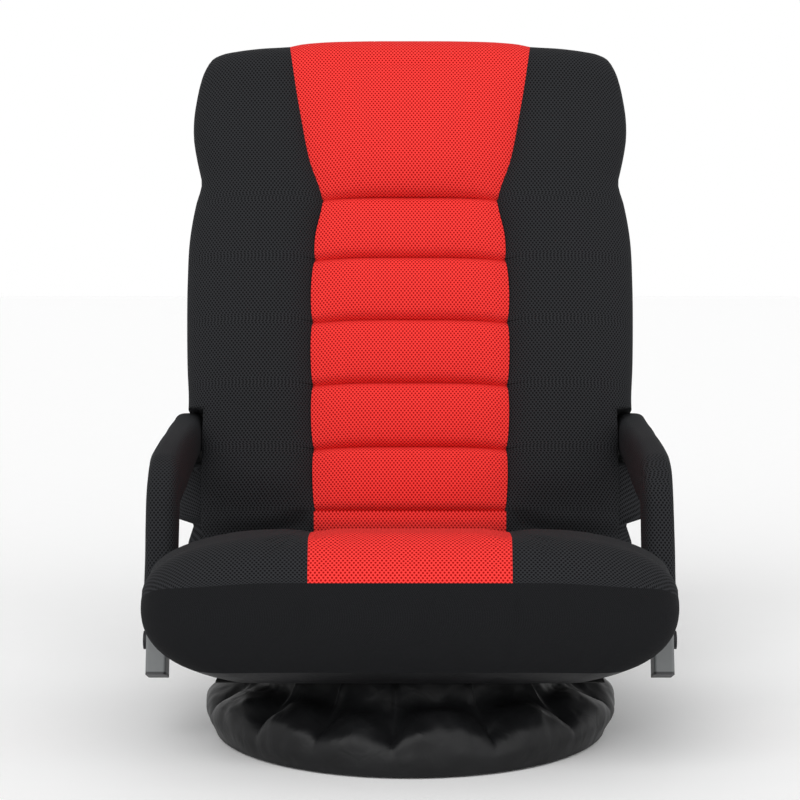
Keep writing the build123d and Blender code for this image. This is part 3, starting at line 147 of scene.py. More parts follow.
def sew(name, points, wrap=False, middle=None, slots=None):
    """A sheet from rows of points, with its flat cloth sizes in metres as the UV map.

    Where a middle column is given, the weave is counted across from that column, and up by the
    rows' usual rise. Patches marked in slots are left open.
    """
    rows, cols = points.shape[:2]
    if wrap:
        points = np.concatenate([points, points[:, :1]], 1)
    across = np.linalg.norm(np.diff(points, axis=1), axis=2)
    along = np.linalg.norm(np.diff(points, axis=0), axis=2)
    flat = np.zeros(points.shape[:2] + (2,))
    flat[:, 1:, 0] = np.cumsum(across, 1)
    flat[1:, :, 1] = np.cumsum(along, 0)
    if middle is not None:
        flat[..., 0] += points[:, [middle], 0] - flat[:, [middle], 0]
        rise = np.linalg.norm(np.median(np.diff(points, axis=0), axis=1), axis=1)
        flat[1:, :, 1] = np.cumsum(rise)[:, None]
    faces, corners = [], []
    for i in range(rows - 1):
        for j in range(points.shape[1] - 1):
            if slots is not None and slots[i, j]:
                continue
            ring = ((i, j), (i, j + 1), (i + 1, j + 1), (i + 1, j))
            faces.append([r * cols + c % cols for r, c in ring])
            corners += [flat[r, c] for r, c in ring]
    mesh = bpy.data.meshes.new(name)
    mesh.from_pydata(points[:, :cols].reshape(-1, 3).tolist(), [], faces)
    mesh.uv_layers.new(name="cloth").uv.foreach_set("vector", np.ravel(corners).astype(np.float32))
    piece = bpy.data.objects.new(name, mesh)
    scene.collection.objects.link(piece)
    return piece


def settle(piece, crease=50.0):
    """Apply a piece's modifiers, then smooth its shading except along hard edges."""
    graph = bpy.context.evaluated_depsgraph_get()
    mesh = bpy.data.meshes.new_from_object(piece.evaluated_get(graph), depsgraph=graph)
    piece.modifiers.clear()
    piece.data = mesh
    mesh.shade_smooth()
    mesh.set_sharp_from_angle(angle=math.radians(crease))


def thicken(piece, thickness, *materials):
    """Give a sheet its cloth and its thickness, inward from the face that shows.

    A second material is the backing, on the hidden face.
    """
    for material in materials:
        piece.data.materials.append(material)
    shell = piece.modifiers.new("thickness", "SOLIDIFY")
    shell.thickness = thickness
    shell.offset = -1.0
    shell.material_offset = len(materials) - 1
    settle(piece)


def satin(name, colour):
    """Thin woven nylon: smooth and a little shiny, with fine creases."""
    material = finish(name, colour, 0.45, grain=2200.0, relief=0.00006, mottle=0.25)
    nodes, links = material.node_tree.nodes, material.node_tree.links
    shader = nodes["Principled BSDF"]
    shader.inputs["Specular IOR Level"].default_value = 0.22
    crease = nodes.new("ShaderNodeTexNoise")
    crease.inputs["Scale"].default_value = 42.0
    crease.inputs["Detail"].default_value = 2.0
    crease.inputs["Distortion"].default_value = 0.9
    links.new(nodes["Texture Coordinate"].outputs["Object"], crease.inputs["Vector"])
    bump = nodes.new("ShaderNodeBump")
    bump.inputs["Strength"].default_value = 0.4
    bump.inputs["Distance"].default_value = 0.003
    links.new(crease.outputs["Fac"], bump.inputs["Height"])
    links.new(nodes["Bump"].outputs["Normal"], bump.inputs["Normal"])
    links.new(bump.outputs["Normal"], shader.inputs["Normal"])
    return material


skirt_tacks = np.radians([-74, -46, -26, -5, 23, 50, 76, 101, 127, 153, 179, 205, 231, 258])
skirt_stops = [0.0, 0.12, 0.28, 0.45, 0.6, 0.78, 1.0]
skirt_tack_radius = [0.2250, 0.2268, 0.2255, 0.2165, 0.1980, 0.1720, 0.1530]
skirt_tack_height = [0.0020, 0.0110, 0.0220, 0.0330, 0.0390, 0.0580, 0.0895]
skirt_puff_radius = [0.2250, 0.2272, 0.2275, 0.2200, 0.1975, 0.1700, 0.1540]
skirt_puff_height = [0.0020, 0.0110, 0.0280, 0.0500, 0.0630, 0.0620, 0.0895]
skirt_rows, skirt_columns = 44, 560
cone_radius, pleat_height, pleat_width = 0.2, 0.005, 0.0035
hem_taper = 0.0105
wrinkle_out, wrinkle_up = 0.012, 0.05
climb = np.linspace(0, 1, skirt_rows)
turn = np.linspace(0, 2 * math.pi, skirt_columns, endpoint=False) - math.pi / 2
tacks = np.append(skirt_tacks, skirt_tacks[0] + 2 * math.pi)
bearing = (turn + math.pi / 2 - tacks[0]) % (2 * math.pi) + tacks[0]
lobe = np.searchsorted(tacks, bearing, side="right") - 1
between = (bearing - tacks[lobe]) / (tacks[lobe + 1] - tacks[lobe])
puff_share = np.sin(math.pi * between) ** 0.8 * (0.84 + 0.2 * np.sin(2.4 * lobe))
off_tack = np.minimum(bearing - tacks[lobe], tacks[lobe + 1] - bearing) * cone_radius
skirt_points = np.zeros((skirt_rows, skirt_columns, 3))
tack_radius, tack_height = (through(skirt_stops, v, climb) for v in (skirt_tack_radius, skirt_tack_height))
puff_radius, puff_top = (through(skirt_stops, v, climb) for v in (skirt_puff_radius, skirt_puff_height))
cone = ease(0.5, 0.7, climb) * (1 - ease(0.9, 1.0, climb))
for i in range(skirt_rows):
    radius = tack_radius[i] + (puff_radius[i] - tack_radius[i]) * puff_share
    height = tack_height[i] + (puff_top[i] - tack_height[i]) * puff_share
    radius = radius + pleat_height * cone[i] * np.exp(-(off_tack / pleat_width) ** 2)
    radius = radius - hem_taper * (1 - ease(0.0, 0.4, climb[i])) * np.cos(turn) ** 2
    skirt_points[i] = np.stack([radius * np.cos(turn), radius * np.sin(turn), height], 1)
    slack = math.sin(math.pi * climb[i]) ** 0.5
    for j in range(skirt_columns):
        x, y, z = skirt_points[i, j]
        wave = noise.noise(Vector((x * 30, y * 30, z * 40)))
        wave += 0.4 * noise.noise(Vector((x * 75, y * 75, z * 45)))
        out = 1 + wrinkle_out * slack * wave
        skirt_points[i, j] *= (out, out, 1 + wrinkle_up * slack * wave)
skirt = sew("base_skirt", skirt_points, wrap=True)
thicken(skirt, 0.0012, satin("skirt_satin", (0.0062, 0.0064, 0.0070)))
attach(skirt, "base")
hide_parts("base_cover")


# Seat frame: a square-tube frame with cross bars on two bearers over the swivel, painted black.
# Elastic webbing is stretched over it, and a thin felt dust cloth is stapled underneath.

frame_paint = finish("frame_paint", (0.02, 0.02, 0.021), 0.42)
dress(frame_paint, "seat_bearer_left", "seat_bearer_right", "seat_frame", "seat_cross_bars",
      "hinge_cheeks_left", "hinge_cheeks_right", "arm_bracket_left", "arm_bracket_right")
webbing = finish("elastic_webbing", (0.05, 0.048, 0.045), 0.85, grain=1300.0, relief=0.0003)
dress(webbing, "seat_webbing")

dust_low, dust_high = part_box("seat_dust_cover")
dust_steps = 40
dust_lift, dust_sag = 0.0004, 0.0006
dust_x = np.linspace(dust_low[0], dust_high[0], dust_steps + 1)
dust_y = np.linspace(dust_high[1], dust_low[1], dust_steps + 1)
dust_points = np.zeros((dust_steps + 1, dust_steps + 1, 3))
for i, y in enumerate(dust_y):
    for j, x in enumerate(dust_x):
        sag = math.sin(math.pi * i / dust_steps) * math.sin(math.pi * j / dust_steps)
        ripple = 1 + noise.noise(Vector((x * 30, y * 30, 0)))
        dust_points[i, j] = (x, y, dust_low[2] + dust_lift - dust_sag * sag * ripple)
dust_cloth = sew("seat_dust_cloth", dust_points)
thicken(dust_cloth, 0.0008, finish("dust_felt", (0.012, 0.012, 0.012), 0.9, grain=2600.0, relief=0.0002))
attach(dust_cloth, "seat")
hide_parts("seat_dust_cover")


# Seat cushion: foam in a sewn cover, with a red air-mesh panel between two black ones on top.
# A black boxing strip runs round the sides, and a smooth panel wraps under it to the frame.

def air_mesh(name, thread, hole, pitch=0.0043):
    """Knitted spacer fabric: staggered rows of small darker holes in a soft matt face."""
    material = bpy.data.materials.new(name)
    material.use_nodes = True
    nodes, links = material.node_tree.nodes, material.node_tree.links
    shader = nodes["Principled BSDF"]
    shader.inputs["Roughness"].default_value = 0.88
    shader.inputs["Specular IOR Level"].default_value = 0.08
    cloth = nodes.new("ShaderNodeUVMap")
    cloth.uv_map = "cloth"
    distances = []
    for shift in (0.0, 0.5):
        spot = nodes.new("ShaderNodeVectorMath")
        spot.operation = "MULTIPLY_ADD"
        spot.inputs[1].default_value = (1 / pitch, 0.79 / pitch, 0)
        spot.inputs[2].default_value = (shift, shift, 0)
        cell = nodes.new("ShaderNodeVectorMath")
        cell.operation = "FRACTION"
        centred = nodes.new("ShaderNodeVectorMath")
        centred.operation = "SUBTRACT"
        centred.inputs[1].default_value = (0.5, 0.5, 0)
        stretch = nodes.new("ShaderNodeVectorMath")
        stretch.operation = "MULTIPLY"
        stretch.inputs[1].default_value = (1.0, 1.2, 0)
        length = nodes.new("ShaderNodeVectorMath")
        length.operation = "LENGTH"
        links.new(cloth.outputs["UV"], spot.inputs[0])
        links.new(spot.outputs["Vector"], cell.inputs[0])
        links.new(cell.outputs["Vector"], centred.inputs[0])
        links.new(centred.outputs["Vector"], stretch.inputs[0])
        links.new(stretch.outputs["Vector"], length.inputs[0])
        distances.append(length)
    nearest = nodes.new("ShaderNodeMath")
    nearest.operation = "MINIMUM"
    for socket, length in zip(nearest.inputs, distances):
        links.new(length.outputs["Value"], socket)
    yarn = nodes.new("ShaderNodeMapRange")
    yarn.interpolation_type = "SMOOTHSTEP"
    yarn.inputs["From Min"].default_value = 0.16
    yarn.inputs["From Max"].default_value = 0.36
    links.new(nearest.outputs["Value"], yarn.inputs["Value"])
    place = nodes.new("ShaderNodeTexCoord")
    fuzz = nodes.new("ShaderNodeTexNoise")
    fuzz.inputs["Scale"].default_value = 700.0
    fuzz.inputs["Detail"].default_value = 2.0
    links.new(place.outputs["Object"], fuzz.inputs["Vector"])
    worn = nodes.new("ShaderNodeMapRange")
    worn.inputs["To Min"].default_value = 0.82
    worn.inputs["To Max"].default_value = 1.12
    links.new(fuzz.outputs["Fac"], worn.inputs["Value"])
    colour = nodes.new("ShaderNodeMix")
    colour.data_type = "RGBA"
    colour.inputs["A"].default_value = (*hole, 1)
    colour.inputs["B"].default_value = (*thread, 1)
    links.new(yarn.outputs["Result"], colour.inputs["Factor"])
    tone = nodes.new("ShaderNodeVectorMath")
    tone.operation = "SCALE"
    links.new(colour.outputs["Result"], tone.inputs[0])
    links.new(worn.outputs["Result"], tone.inputs["Scale"])
    links.new(tone.outputs["Vector"], shader.inputs["Base Color"])
    bump = nodes.new("ShaderNodeBump")
    bump.inputs["Strength"].default_value = 0.5
    bump.inputs["Distance"].default_value = 0.0009
    links.new(yarn.outputs["Result"], bump.inputs["Height"])
    links.new(bump.outputs["Normal"], shader.inputs["Normal"])
    return material


def blow(points, held, wrap=False, pressure=4.0, growth=0.004, cap=0.004, steps=20):
    """Swell a sheet of cloth under pressure with its seams held, and return where it settles.

    No point moves further than the cap, in metres.
    """
    trial = sew("trial", points, wrap=wrap)
    seams = trial.vertex_groups.new(name="seams")
    seams.add(np.flatnonzero(held).tolist(), 1.0, "REPLACE")
    cloth = trial.modifiers.new("cloth", "CLOTH")
    cloth.settings.quality = 6
    cloth.settings.mass = 0.3
    cloth.settings.bending_stiffness = 0.5
    cloth.settings.vertex_group_mass = "seams"
    cloth.settings.use_pressure = True
    cloth.settings.uniform_pressure_force = pressure
    cloth.settings.shrink_min = -growth
    cloth.settings.effector_weights.gravity = 0
    cloth.point_cache.frame_start = 1
    cloth.point_cache.frame_end = steps
    for step in range(1, steps + 1):
        scene.frame_set(step)
    swollen = trial.evaluated_get(bpy.context.evaluated_depsgraph_get())
    settled = np.zeros(points.size)
    swollen.data.vertices.foreach_get("co", settled)
    move = settled.reshape(points.shape) - points
    length = np.linalg.norm(move, axis=2, keepdims=True)
    bpy.data.objects.remove(trial)
    scene.frame_set(1)
    return points + move * np.minimum(1, cap / np.maximum(length, 1e-9))


def cover(name, points, material, body, thickness=0.006,
          middle=None, wrap=False, slots=None):
    """A padded cover panel: its cloth in front and a dark backing behind."""
    piece = sew(name, points, wrap=wrap, middle=middle, slots=slots)
    thicken(piece, thickness, material, cover_backing)
    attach(piece, body)
    return piece


red_mesh = air_mesh("red_air_mesh", (0.95, 0.050, 0.044), (0.34, 0.002, 0.0015))
black_mesh = air_mesh("black_air_mesh", (0.0265, 0.0275, 0.030), (0.004, 0.004, 0.0045))
black_knit = air_mesh("black_close_knit", (0.0112, 0.0117, 0.0129), (0.0082, 0.0082, 0.0090), pitch=0.0024)
underside_satin = satin("underside_satin", (0.007, 0.007, 0.0078))
cover_backing = finish("cover_backing", (0.010, 0.010, 0.010), 0.9, grain=1800.0, relief=0.0002)

seat_rear, seat_front, seat_front_foot = 0.1805, -0.2500, -0.2130
nose_half, nose_half_foot = 0.2725, 0.1990
rear_half, rear_half_foot = 0.2500, 0.2010
nose_corner, nose_corner_foot = 0.060, 0.045
seat_foot = 0.0962
seam_front, seam_nose, seam_rear = 0.2056, 0.1880, 0.1640
roll_y = [seat_front, -0.2480, -0.2400, -0.2330, -0.2266, -0.2178, -0.2060, -0.1900, seat_rear]
roll_z = [seam_front, 0.2100, 0.2220, 0.2295, 0.2352, 0.2405, 0.2438, 0.2424, 0.1865]
widening_rear, widening_front = -0.100, -0.130
seam_fall_start, seam_lift_start = -0.15, -0.195
nose_droop, droop_inner, droop_outer = 0.0065, 0.130, 0.265
droop_rear, droop_front = -0.10, -0.19
red_half_front, red_half_gain = 0.1015, 0.0105
dome_power = 6
side_columns, red_columns, seat_rows = 28, 24, 84


def spread(line, count):
    """Places at even steps along a line of points."""
    run = np.append(0, np.cumsum(np.linalg.norm(np.diff(line, axis=0), axis=1)))
    at = np.linspace(0, run[-1], count)
    return np.stack([np.interp(at, run, values) for values in line.T], 1)


def seat_plan(y, front, nose, rear, corner):
    """Half width of an outline of the seat at a place along it."""
    past = np.clip((front + corner - y) / corner, 0, 1)
    widening = ease(widening_rear, widening_front, y)
    return rear + (nose - rear) * widening - corner * (1 - np.sqrt(1 - past ** 2))


seat_y = np.linspace(seat_rear, seat_front, 2000)
seat_y, top_middle = spread(np.stack([seat_y, through(roll_y, roll_z, seat_y)], 1), seat_rows).T
seat_half = seat_plan(seat_y, seat_front, nose_half, rear_half, nose_corner)
long_share = (seat_rear - seat_y) / (seat_rear - seat_front - nose_corner)
corner_share = np.clip((seat_front + nose_corner - seat_y) / nose_corner, 0, 1)
foot_y = seat_rear + (seat_front_foot + nose_corner_foot - seat_rear) * np.minimum(long_share, 1)
foot_y = foot_y - nose_corner_foot * corner_share
foot_half = seat_plan(foot_y, seat_front_foot, nose_half_foot, rear_half_foot, nose_corner_foot)
red_half = red_half_front + red_half_gain * (seat_y - seat_front) / (seat_rear - seat_front)
top_seam = seam_nose + (seam_rear - seam_nose) * ease(seam_fall_start, seat_rear, seat_y)
top_seam = top_seam + (seam_front - seam_nose) * ease(seam_lift_start, seat_front, seat_y)
seat_columns = 2 * side_columns + red_columns + 1
seat_top = np.zeros((seat_rows, seat_columns, 3))
for i in range(seat_rows):
    x = red_half[i] + (seat_half[i] - red_half[i]) * np.sin(np.linspace(0, math.pi / 2, 600))
    dome = np.sqrt(np.maximum(0, 1 - (x / seat_half[i]) ** dome_power))
    flank = np.stack([x, top_seam[i] + (top_middle[i] - top_seam[i]) * dome], 1)
    flank = spread(flank, side_columns + 1)
    x = np.linspace(-red_half[i], red_half[i], red_columns + 1)
    dome = np.sqrt(1 - (np.abs(x) / seat_half[i]) ** dome_power)
    panel = np.stack([x, top_seam[i] + (top_middle[i] - top_seam[i]) * dome], 1)
    section = np.concatenate([flank[:0:-1] * (-1, 1), panel, flank[1:]])
    outer_share = ease(droop_inner, droop_outer, np.abs(section[:, 0]))
    section[:, 1] -= nose_droop * outer_share * ease(droop_rear, droop_front, seat_y[i])
    seat_top[i] = np.stack([section[:, 0], np.full(seat_columns, seat_y[i]), section[:, 1]], 1)
seam_right, seam_left = side_columns, side_columns + red_columns
held = np.zeros(seat_top.shape[:2], bool)
held[0] = held[-1] = True
held[:, [0, seam_right, seam_left, -1]] = True
seat_top = blow(seat_top[::-1], held[::-1])[::-1]

# The boxing's rows run down from the top seam; its outline pulls in to the seat's foot.
edge_rows = [(i, 0) for i in range(seat_rows)] + [(seat_rows - 1, j) for j in range(1, seat_columns)]
edge_rows += [(i, seat_columns - 1) for i in range(seat_rows - 2, -1, -1)]
edge_rows += [(0, j) for j in range(seat_columns - 2, 0, -1)]
rim = np.array([seat_top[i, j] for i, j in edge_rows])
foot = np.array([(foot_half[i] * seat_top[i, j, 0] / seat_half[i], foot_y[i], seat_foot)
                 for i, j in edge_rows])
tangent = np.roll(rim, -1, 0) - np.roll(rim, 1, 0)
outward = np.stack([tangent[:, 1], -tangent[:, 0], 0 * tangent[:, 0]], 1)
outward /= np.linalg.norm(outward, axis=1, keepdims=True)
outward *= np.sign(-outward[0, 0])
facing_front = np.clip(-outward[:, 1], 0, 1)
facing_rear = np.clip(outward[:, 1], 0, 1)
pull_side, pull_front_gain, boxing_swell = 2.0, 3.0, 0.0035
pull = pull_side + pull_front_gain * facing_front
swell = boxing_swell * (1 - facing_rear)
boxing_rows, under_seam = 22, 18
boxing = np.zeros((boxing_rows, len(rim), 3))
for k in range(boxing_rows):
    v = k / (boxing_rows - 1)
    share = (v ** pull)[:, None]
    boxing[k] = rim + (foot - rim) * share
    boxing[k, :, 2] = rim[:, 2] + (seat_foot - rim[:, 2]) * v
    boxing[k] += outward * (swell * math.sin(math.pi * v))[:, None]
lip_rows, lip_step, lip_rise = 4, 0.06, 0.0006
lip = []
for k in range(1, lip_rows + 1):
    lip.append(boxing[-1] * (1 - lip_step * k, 1 - lip_step * k, 1) + (0, 0, lip_rise * k))
underside = np.concatenate([boxing[under_seam:], lip])
held = np.zeros(boxing[:under_seam + 1].shape[:2], bool)
held[[0, -1]] = True
held[:, facing_rear[::-1] > 0.1] = True
boxing = blow(boxing[:under_seam + 1, ::-1], held, wrap=True)

seat_panel = cover("seat_centre_cover", seat_top[::-1, seam_right:seam_left + 1], red_mesh,
                   "seat", middle=red_columns // 2)
seat_side_right = cover("seat_side_cover_right", seat_top[::-1, :seam_right + 1], black_mesh,
                        "seat", middle=side_columns)
seat_side_left = cover("seat_side_cover_left", seat_top[::-1, seam_left:], black_mesh,
                       "seat", middle=0)
seat_boxing = cover("seat_boxing_cover", boxing, black_knit, "seat", wrap=True)
cover("seat_underside_cover", underside[:, ::-1], underside_satin, "seat",
      thickness=0.002, wrap=True)
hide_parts("seat_centre_panel")
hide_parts("seat_side_panel_right")
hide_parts("seat_side_panel_left")
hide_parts("seat_boxing", "seat_foam")


# Recline hinge: steel cheeks on the seat frame carry two pins; a notched wheel on each side of
# the back turns on them, and a sprung pawl on each side drops into its notches.

hinge_steel = finish("hinge_steel", (0.33, 0.33, 0.34), 0.36, metallic=1.0, grain=500.0)
dress(hinge_steel, "hinge_pins", "hinge_spacers", "ratchet_wheel_left", "ratchet_wheel_right", "pawl_left",
      "pawl_right", "pawl_pins", "pawl_springs")


# Back: a bent tube frame with webbing and moulded foam in a sewn cover. The front has a red head
# pillow, a red centre sewn in level channels, and a crowned black bolster down each side.

dress(frame_paint, "back_frame", "back_cross_tubes")
dress(webbing, "back_webbing")

recline = next(j for j in frame["record"]["behaviour"]["joints"] if j["name"] == "recline")
axis_y, axis_z = recline["pos_m"][1:]
lean = math.radians(18)
knuckle, hub_top, hub_start, hub_narrowing = 0.0500, 0.05, 0.15, 0.034
channel_seams = [0.062, 0.1412, 0.2202, 0.2992, 0.3780, 0.4545]
first_seam, head_start = channel_seams[0], channel_seams[-1]
channel_depth, channel_spread, channel_pinch = 0.0105, 0.0034, 0.0024
seam_dip, seam_dip_width = 0.006, 0.0035
seam_sag, sag_half = 0.0035, 0.11
pillow_run, pillow_depth, pillow_lean = 0.17, 0.021, 0.002
head_round, back_top = 0.620, 0.670
crown_foot, crown_gain, crown_head_loss = 0.050, 0.014, 0.006
seam_depth, seam_head_gain = 0.0455, 0.004
bolster_foot, bolster_foot_fall = 0.063, 0.015
top_line, side_depth, tuck_depth, wrap_depth = 0.004, 0.014, 0.034, 0.012
rear_taper, rear_hub_taper, rear_round, rear_inset = 0.012, 0.0015, 0.008, 0.006
arm_clearance = 0.250
step_low, step_middle, step_high = 0.1905, 0.193, 0.1955
outline_u = [-knuckle, 0.12, 0.20, 0.25, 0.30, 0.355, 0.413, 0.455,
             0.483, 0.508, 0.54, 0.565, 0.59, 0.616, 0.632]
outline_half = [0.2800, 0.2790, 0.2705, 0.2730, 0.2745, 0.2750, 0.2730, 0.2665,
                0.2600, 0.2655, 0.2712, 0.2712, 0.2680, 0.2630, 0.2590]
red_u = [-knuckle, first_seam, 0.218, 0.405, head_start, 0.502, 0.567, back_top]
red_edge = [0.1150, 0.1150, 0.1190, 0.1155, 0.1085, 0.1240, 0.1370, 0.1520]
head_share = [0, 0.25, 0.45, 0.53, 0.585, 0.74, 0.84, 0.92, 0.96, 1.0]
head_fall = [0, 0.0003, 0.0022, 0.0044, 0.0076, 0.0116, 0.0146, 0.0184, 0.0232, 0.0370]
head_fall_start = 0.52


def on_back(x, n, u):
    """A place on the back: x across, n forward of its hinge axis, u up along it."""
    y = axis_y - n * math.cos(lean) + u * math.sin(lean)
    z = axis_z + n * math.sin(lean) + u * math.cos(lean)
    return (x, y, z)


def crowded(low, high, count):
    """Places that crowd towards both ends of a stretch."""
    return low + (high - low) * (1 - np.cos(np.linspace(0, math.pi, count, endpoint=False))) / 2


hub_rows = -knuckle * np.cos(np.linspace(hub_start, math.pi / 2, 7, endpoint=False))
foot_rows = np.linspace(0.0, first_seam, 15, endpoint=False)
channel_rows = [crowded(low, high, 16) for low, high in zip(channel_seams, channel_seams[1:])]
head_rows = crowded(head_start, head_round, 20)
top_rows = head_round + (back_top - head_round) * np.sin(np.linspace(0, math.pi / 2, 16))
step_rows = [step_low, step_middle, step_high]
back_rows = np.sort(np.concatenate([hub_rows, foot_rows, *channel_rows, head_rows, top_rows, step_rows]))
red_steps, bolster_steps, wrap_steps, band_steps = 14, 24, 3, 8
front_steps = red_steps + bolster_steps
half_columns = front_steps + wrap_steps + band_steps + front_steps
head_seam = int(np.argmin(np.abs(back_rows - head_start)))


def head_drop(share, u):
    """How far the head's top edge falls below its middle, at a share of the half width."""
    return float(through(head_share, head_fall, share) * ease(head_fall_start, back_top, u))


def back_face(u):
    """The bolster's crown and its seam beside the red, as depths at a height."""
    crown = crown_foot + crown_gain * float(ease(0.05, 0.11, u))
    crown -= crown_head_loss * float(ease(0.50, 0.60, u))
    seam = seam_depth + seam_head_gain * float(ease(0.44, 0.50, u))
    tuck = float(ease(0.020, 0.054, u))
    return crown, tuck_depth + (seam - tuck_depth) * tuck


def bolster_depth(q, u):
    """Depth of a bolster's face, from the seam beside the red at 0 to its outer edge at 1."""
    crown, seam = back_face(u)
    foot = bolster_foot - bolster_foot_fall * float(ease(0.0, 0.4, q))
    crown = tuck_depth + (crown - tuck_depth) * float(ease(foot - 0.014, foot + 0.008, u)) ** 0.7
    dome = (1 - q ** 3.4) ** (1 / 2.2)
    return side_depth + (crown - side_depth) * dome - (crown - seam) * (1 - q) ** 9


def back_ring(u):
    """One half section of the back, from the middle of its front round the side to the rear."""
    half = float(through(outline_u, outline_half, u - head_drop(1.0, u)))
    red = float(through(red_u, red_edge, u))
    limit = arm_clearance + (half - arm_clearance) * float(ease(step_low, step_high, u))
    roof = math.sqrt(max(0, 1 - (max(u - head_round, 0) / (back_top - head_round)) ** 2.6))
    rear = -knuckle + rear_taper * float(ease(0.2, 0.655, u))
    seam = back_face(u)[1]
    if u < hub_top:
        hub = math.sqrt(max(knuckle ** 2 - min(u, 0.0) ** 2, 0)) / knuckle
        roof *= hub
        limit -= hub_narrowing * (1 - hub) ** 2
        rear = -knuckle + rear_hub_taper * float(ease(0.0, hub_top, u))
    seam_below = max((s for s in channel_seams if s <= u), default=first_seam)
    seam_above = min((s for s in channel_seams if s > u), default=seam_below)
    from_seam = min(abs(u - seam_below), abs(seam_above - u))
    bulge, pinch = 0.0, 0.0
    if seam_below < u < seam_above:
        q = (u - seam_below) / (seam_above - seam_below)
        bulge = (4 * q * (1 - q)) ** 0.5
        pinch = channel_spread * bulge - channel_pinch
    ring = []
    for k in range(front_steps + 1):
        if k <= red_steps:
            x = (red + pinch) * math.sin(math.pi / 2 * k / red_steps)
            n = seam
            if u >= head_start:
                q = min((u - head_start) / pillow_run, 1)
                pillow = pillow_depth * math.sin(math.pi * q ** 0.75) ** 0.6 + pillow_lean * q
                n += pillow * (1 - (x / red) ** 2.4)
                n -= seam_dip * math.exp(-((u - head_start) / seam_dip_width) ** 2)
            elif u > first_seam:
                n += channel_depth * bulge * (1 - 0.75 * (x / (red + pinch)) ** 4)
                n -= seam_dip * math.exp(-(from_seam / seam_dip_width) ** 2)
        else:
            q = (1 - math.cos(math.pi * (k - red_steps) / bolster_steps)) / 2
            x = red + (half - red) * q + pinch * (1 - q) ** 4
            n = bolster_depth(q, u)
        ring.append((min(x, limit), n))
    for k in range(1, wrap_steps + 1):
        ring.append((limit, side_depth - wrap_depth * k / wrap_steps))
    first = side_depth - wrap_depth
    last = rear + rear_round
    for k in range(1, band_steps + 1):
        q = k / band_steps
        ring.append((limit - rear_inset * q ** 4, first + (last - first) * q))
    for k in range(1, front_steps + 1):
        x = ring[front_steps - k][0]
        q = x / limit
        ring.append((x * (limit - rear_inset * min(1, q ** 8)) / limit, rear + rear_round * q ** 10))
    return [(x, top_line + (n - top_line) * roof) for x, n in ring]


back_points = np.zeros((len(back_rows), 2 * half_columns + 1, 3))
for i, u in enumerate(back_rows):
    half_ring = back_ring(float(u))
    widest = max(x for x, n in half_ring)
    sag = seam_sag * float(ease(0.06, 0.14, u)) * (1 - float(ease(0.46, 0.55, u)))
    for k, (x, n) in enumerate(half_ring):
        height = u - head_drop(x / widest, u) - sag * min(1, x / sag_half) ** 4
        for way in (1, -1):
            back_points[i, half_columns + way * k] = on_back(way * x, n, height)
red_left, red_right = half_columns + red_steps, half_columns - red_steps
wrap_left, wrap_right = red_left + bolster_steps + wrap_steps, red_right - bolster_steps - wrap_steps

top_rows_held, step_held, seam_columns_held = 12, 0.009, 2
front = slice(wrap_right, wrap_left + 1)
held = np.zeros(back_points[:, front].shape[:2], bool)
held[:len(hub_rows) + len(foot_rows)] = True
held[-top_rows_held:] = True
held[np.abs(back_rows - step_middle) < step_held] = True
held[:, :wrap_steps + 1] = True
held[:, -wrap_steps - 1:] = True
for column in (red_right - wrap_right, red_left - wrap_right):
    held[:, column - seam_columns_held:column + seam_columns_held + 1] = True
for u in channel_seams:
    held[int(np.argmin(np.abs(back_rows - u))), red_right - wrap_right:red_left - wrap_right + 1] = True
back_points[:, front] = blow(back_points[:, front], held)

# The cover is left open where the hinge's steel passes through the foot of the back, on both sides.
slot_inner, slot_outer, slot_radius = 0.164, 0.206, 0.053
across = np.abs(back_points[..., 0])
from_hinge = np.hypot(back_points[..., 1] - axis_y, back_points[..., 2] - axis_z)
across, from_hinge = ((v[1:, 1:] + v[:-1, :-1]) / 2 for v in (across, from_hinge))
hinge_slots = (across > slot_inner) & (across < slot_outer) & (from_hinge < slot_radius)

head_pillow = cover("back_head_pillow", back_points[head_seam:, red_right:red_left + 1], red_mesh,
                    "back", middle=red_steps)
back_centre = cover("back_centre_cover", back_points[:head_seam + 1, red_right:red_left + 1], red_mesh,
                    "back", middle=red_steps)
bolster_left = cover("back_bolster_cover_left", back_points[:, red_left:wrap_left + 1], black_mesh,
                     "back", middle=0, slots=hinge_slots[:, red_left:wrap_left])
bolster_right = cover("back_bolster_cover_right", back_points[:, wrap_right:red_right + 1], black_mesh,
                      "back", middle=bolster_steps + wrap_steps,
                      slots=hinge_slots[:, wrap_right:red_right])
rear_points = np.concatenate([back_points[:, wrap_left:], back_points[:, 1:wrap_right + 1]], 1)
rear_slots = np.concatenate([hinge_slots[:, wrap_left:], hinge_slots[:, :wrap_right]], 1)
rear_cover = cover("back_rear_shell", rear_points, black_knit, "back",
                   thickness=0.0015, slots=rear_slots)
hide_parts("back_headrest_pad")
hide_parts("back_centre_panel")
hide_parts("back_bolster_left")
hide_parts("back_bolster_right")
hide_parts("back_rear_cover", "back_boxing", "back_foam")

# Each bolster swells out into a soft wing below the arm.
wing_inner, wing_foot, wing_height, wing_depth = 0.2465, 0.012, 0.075, 0.054
wing_rows, wing_columns = 44, 40
face_end, side_end = 0.4, 0.75
foot_round, arm_round = 0.16, 0.15
fill_start, fill_end = 0.315, 0.385
early_least, early_gain = 0.42, 0.34
arm_line_height, arm_line_slope = 0.1405, 0.45


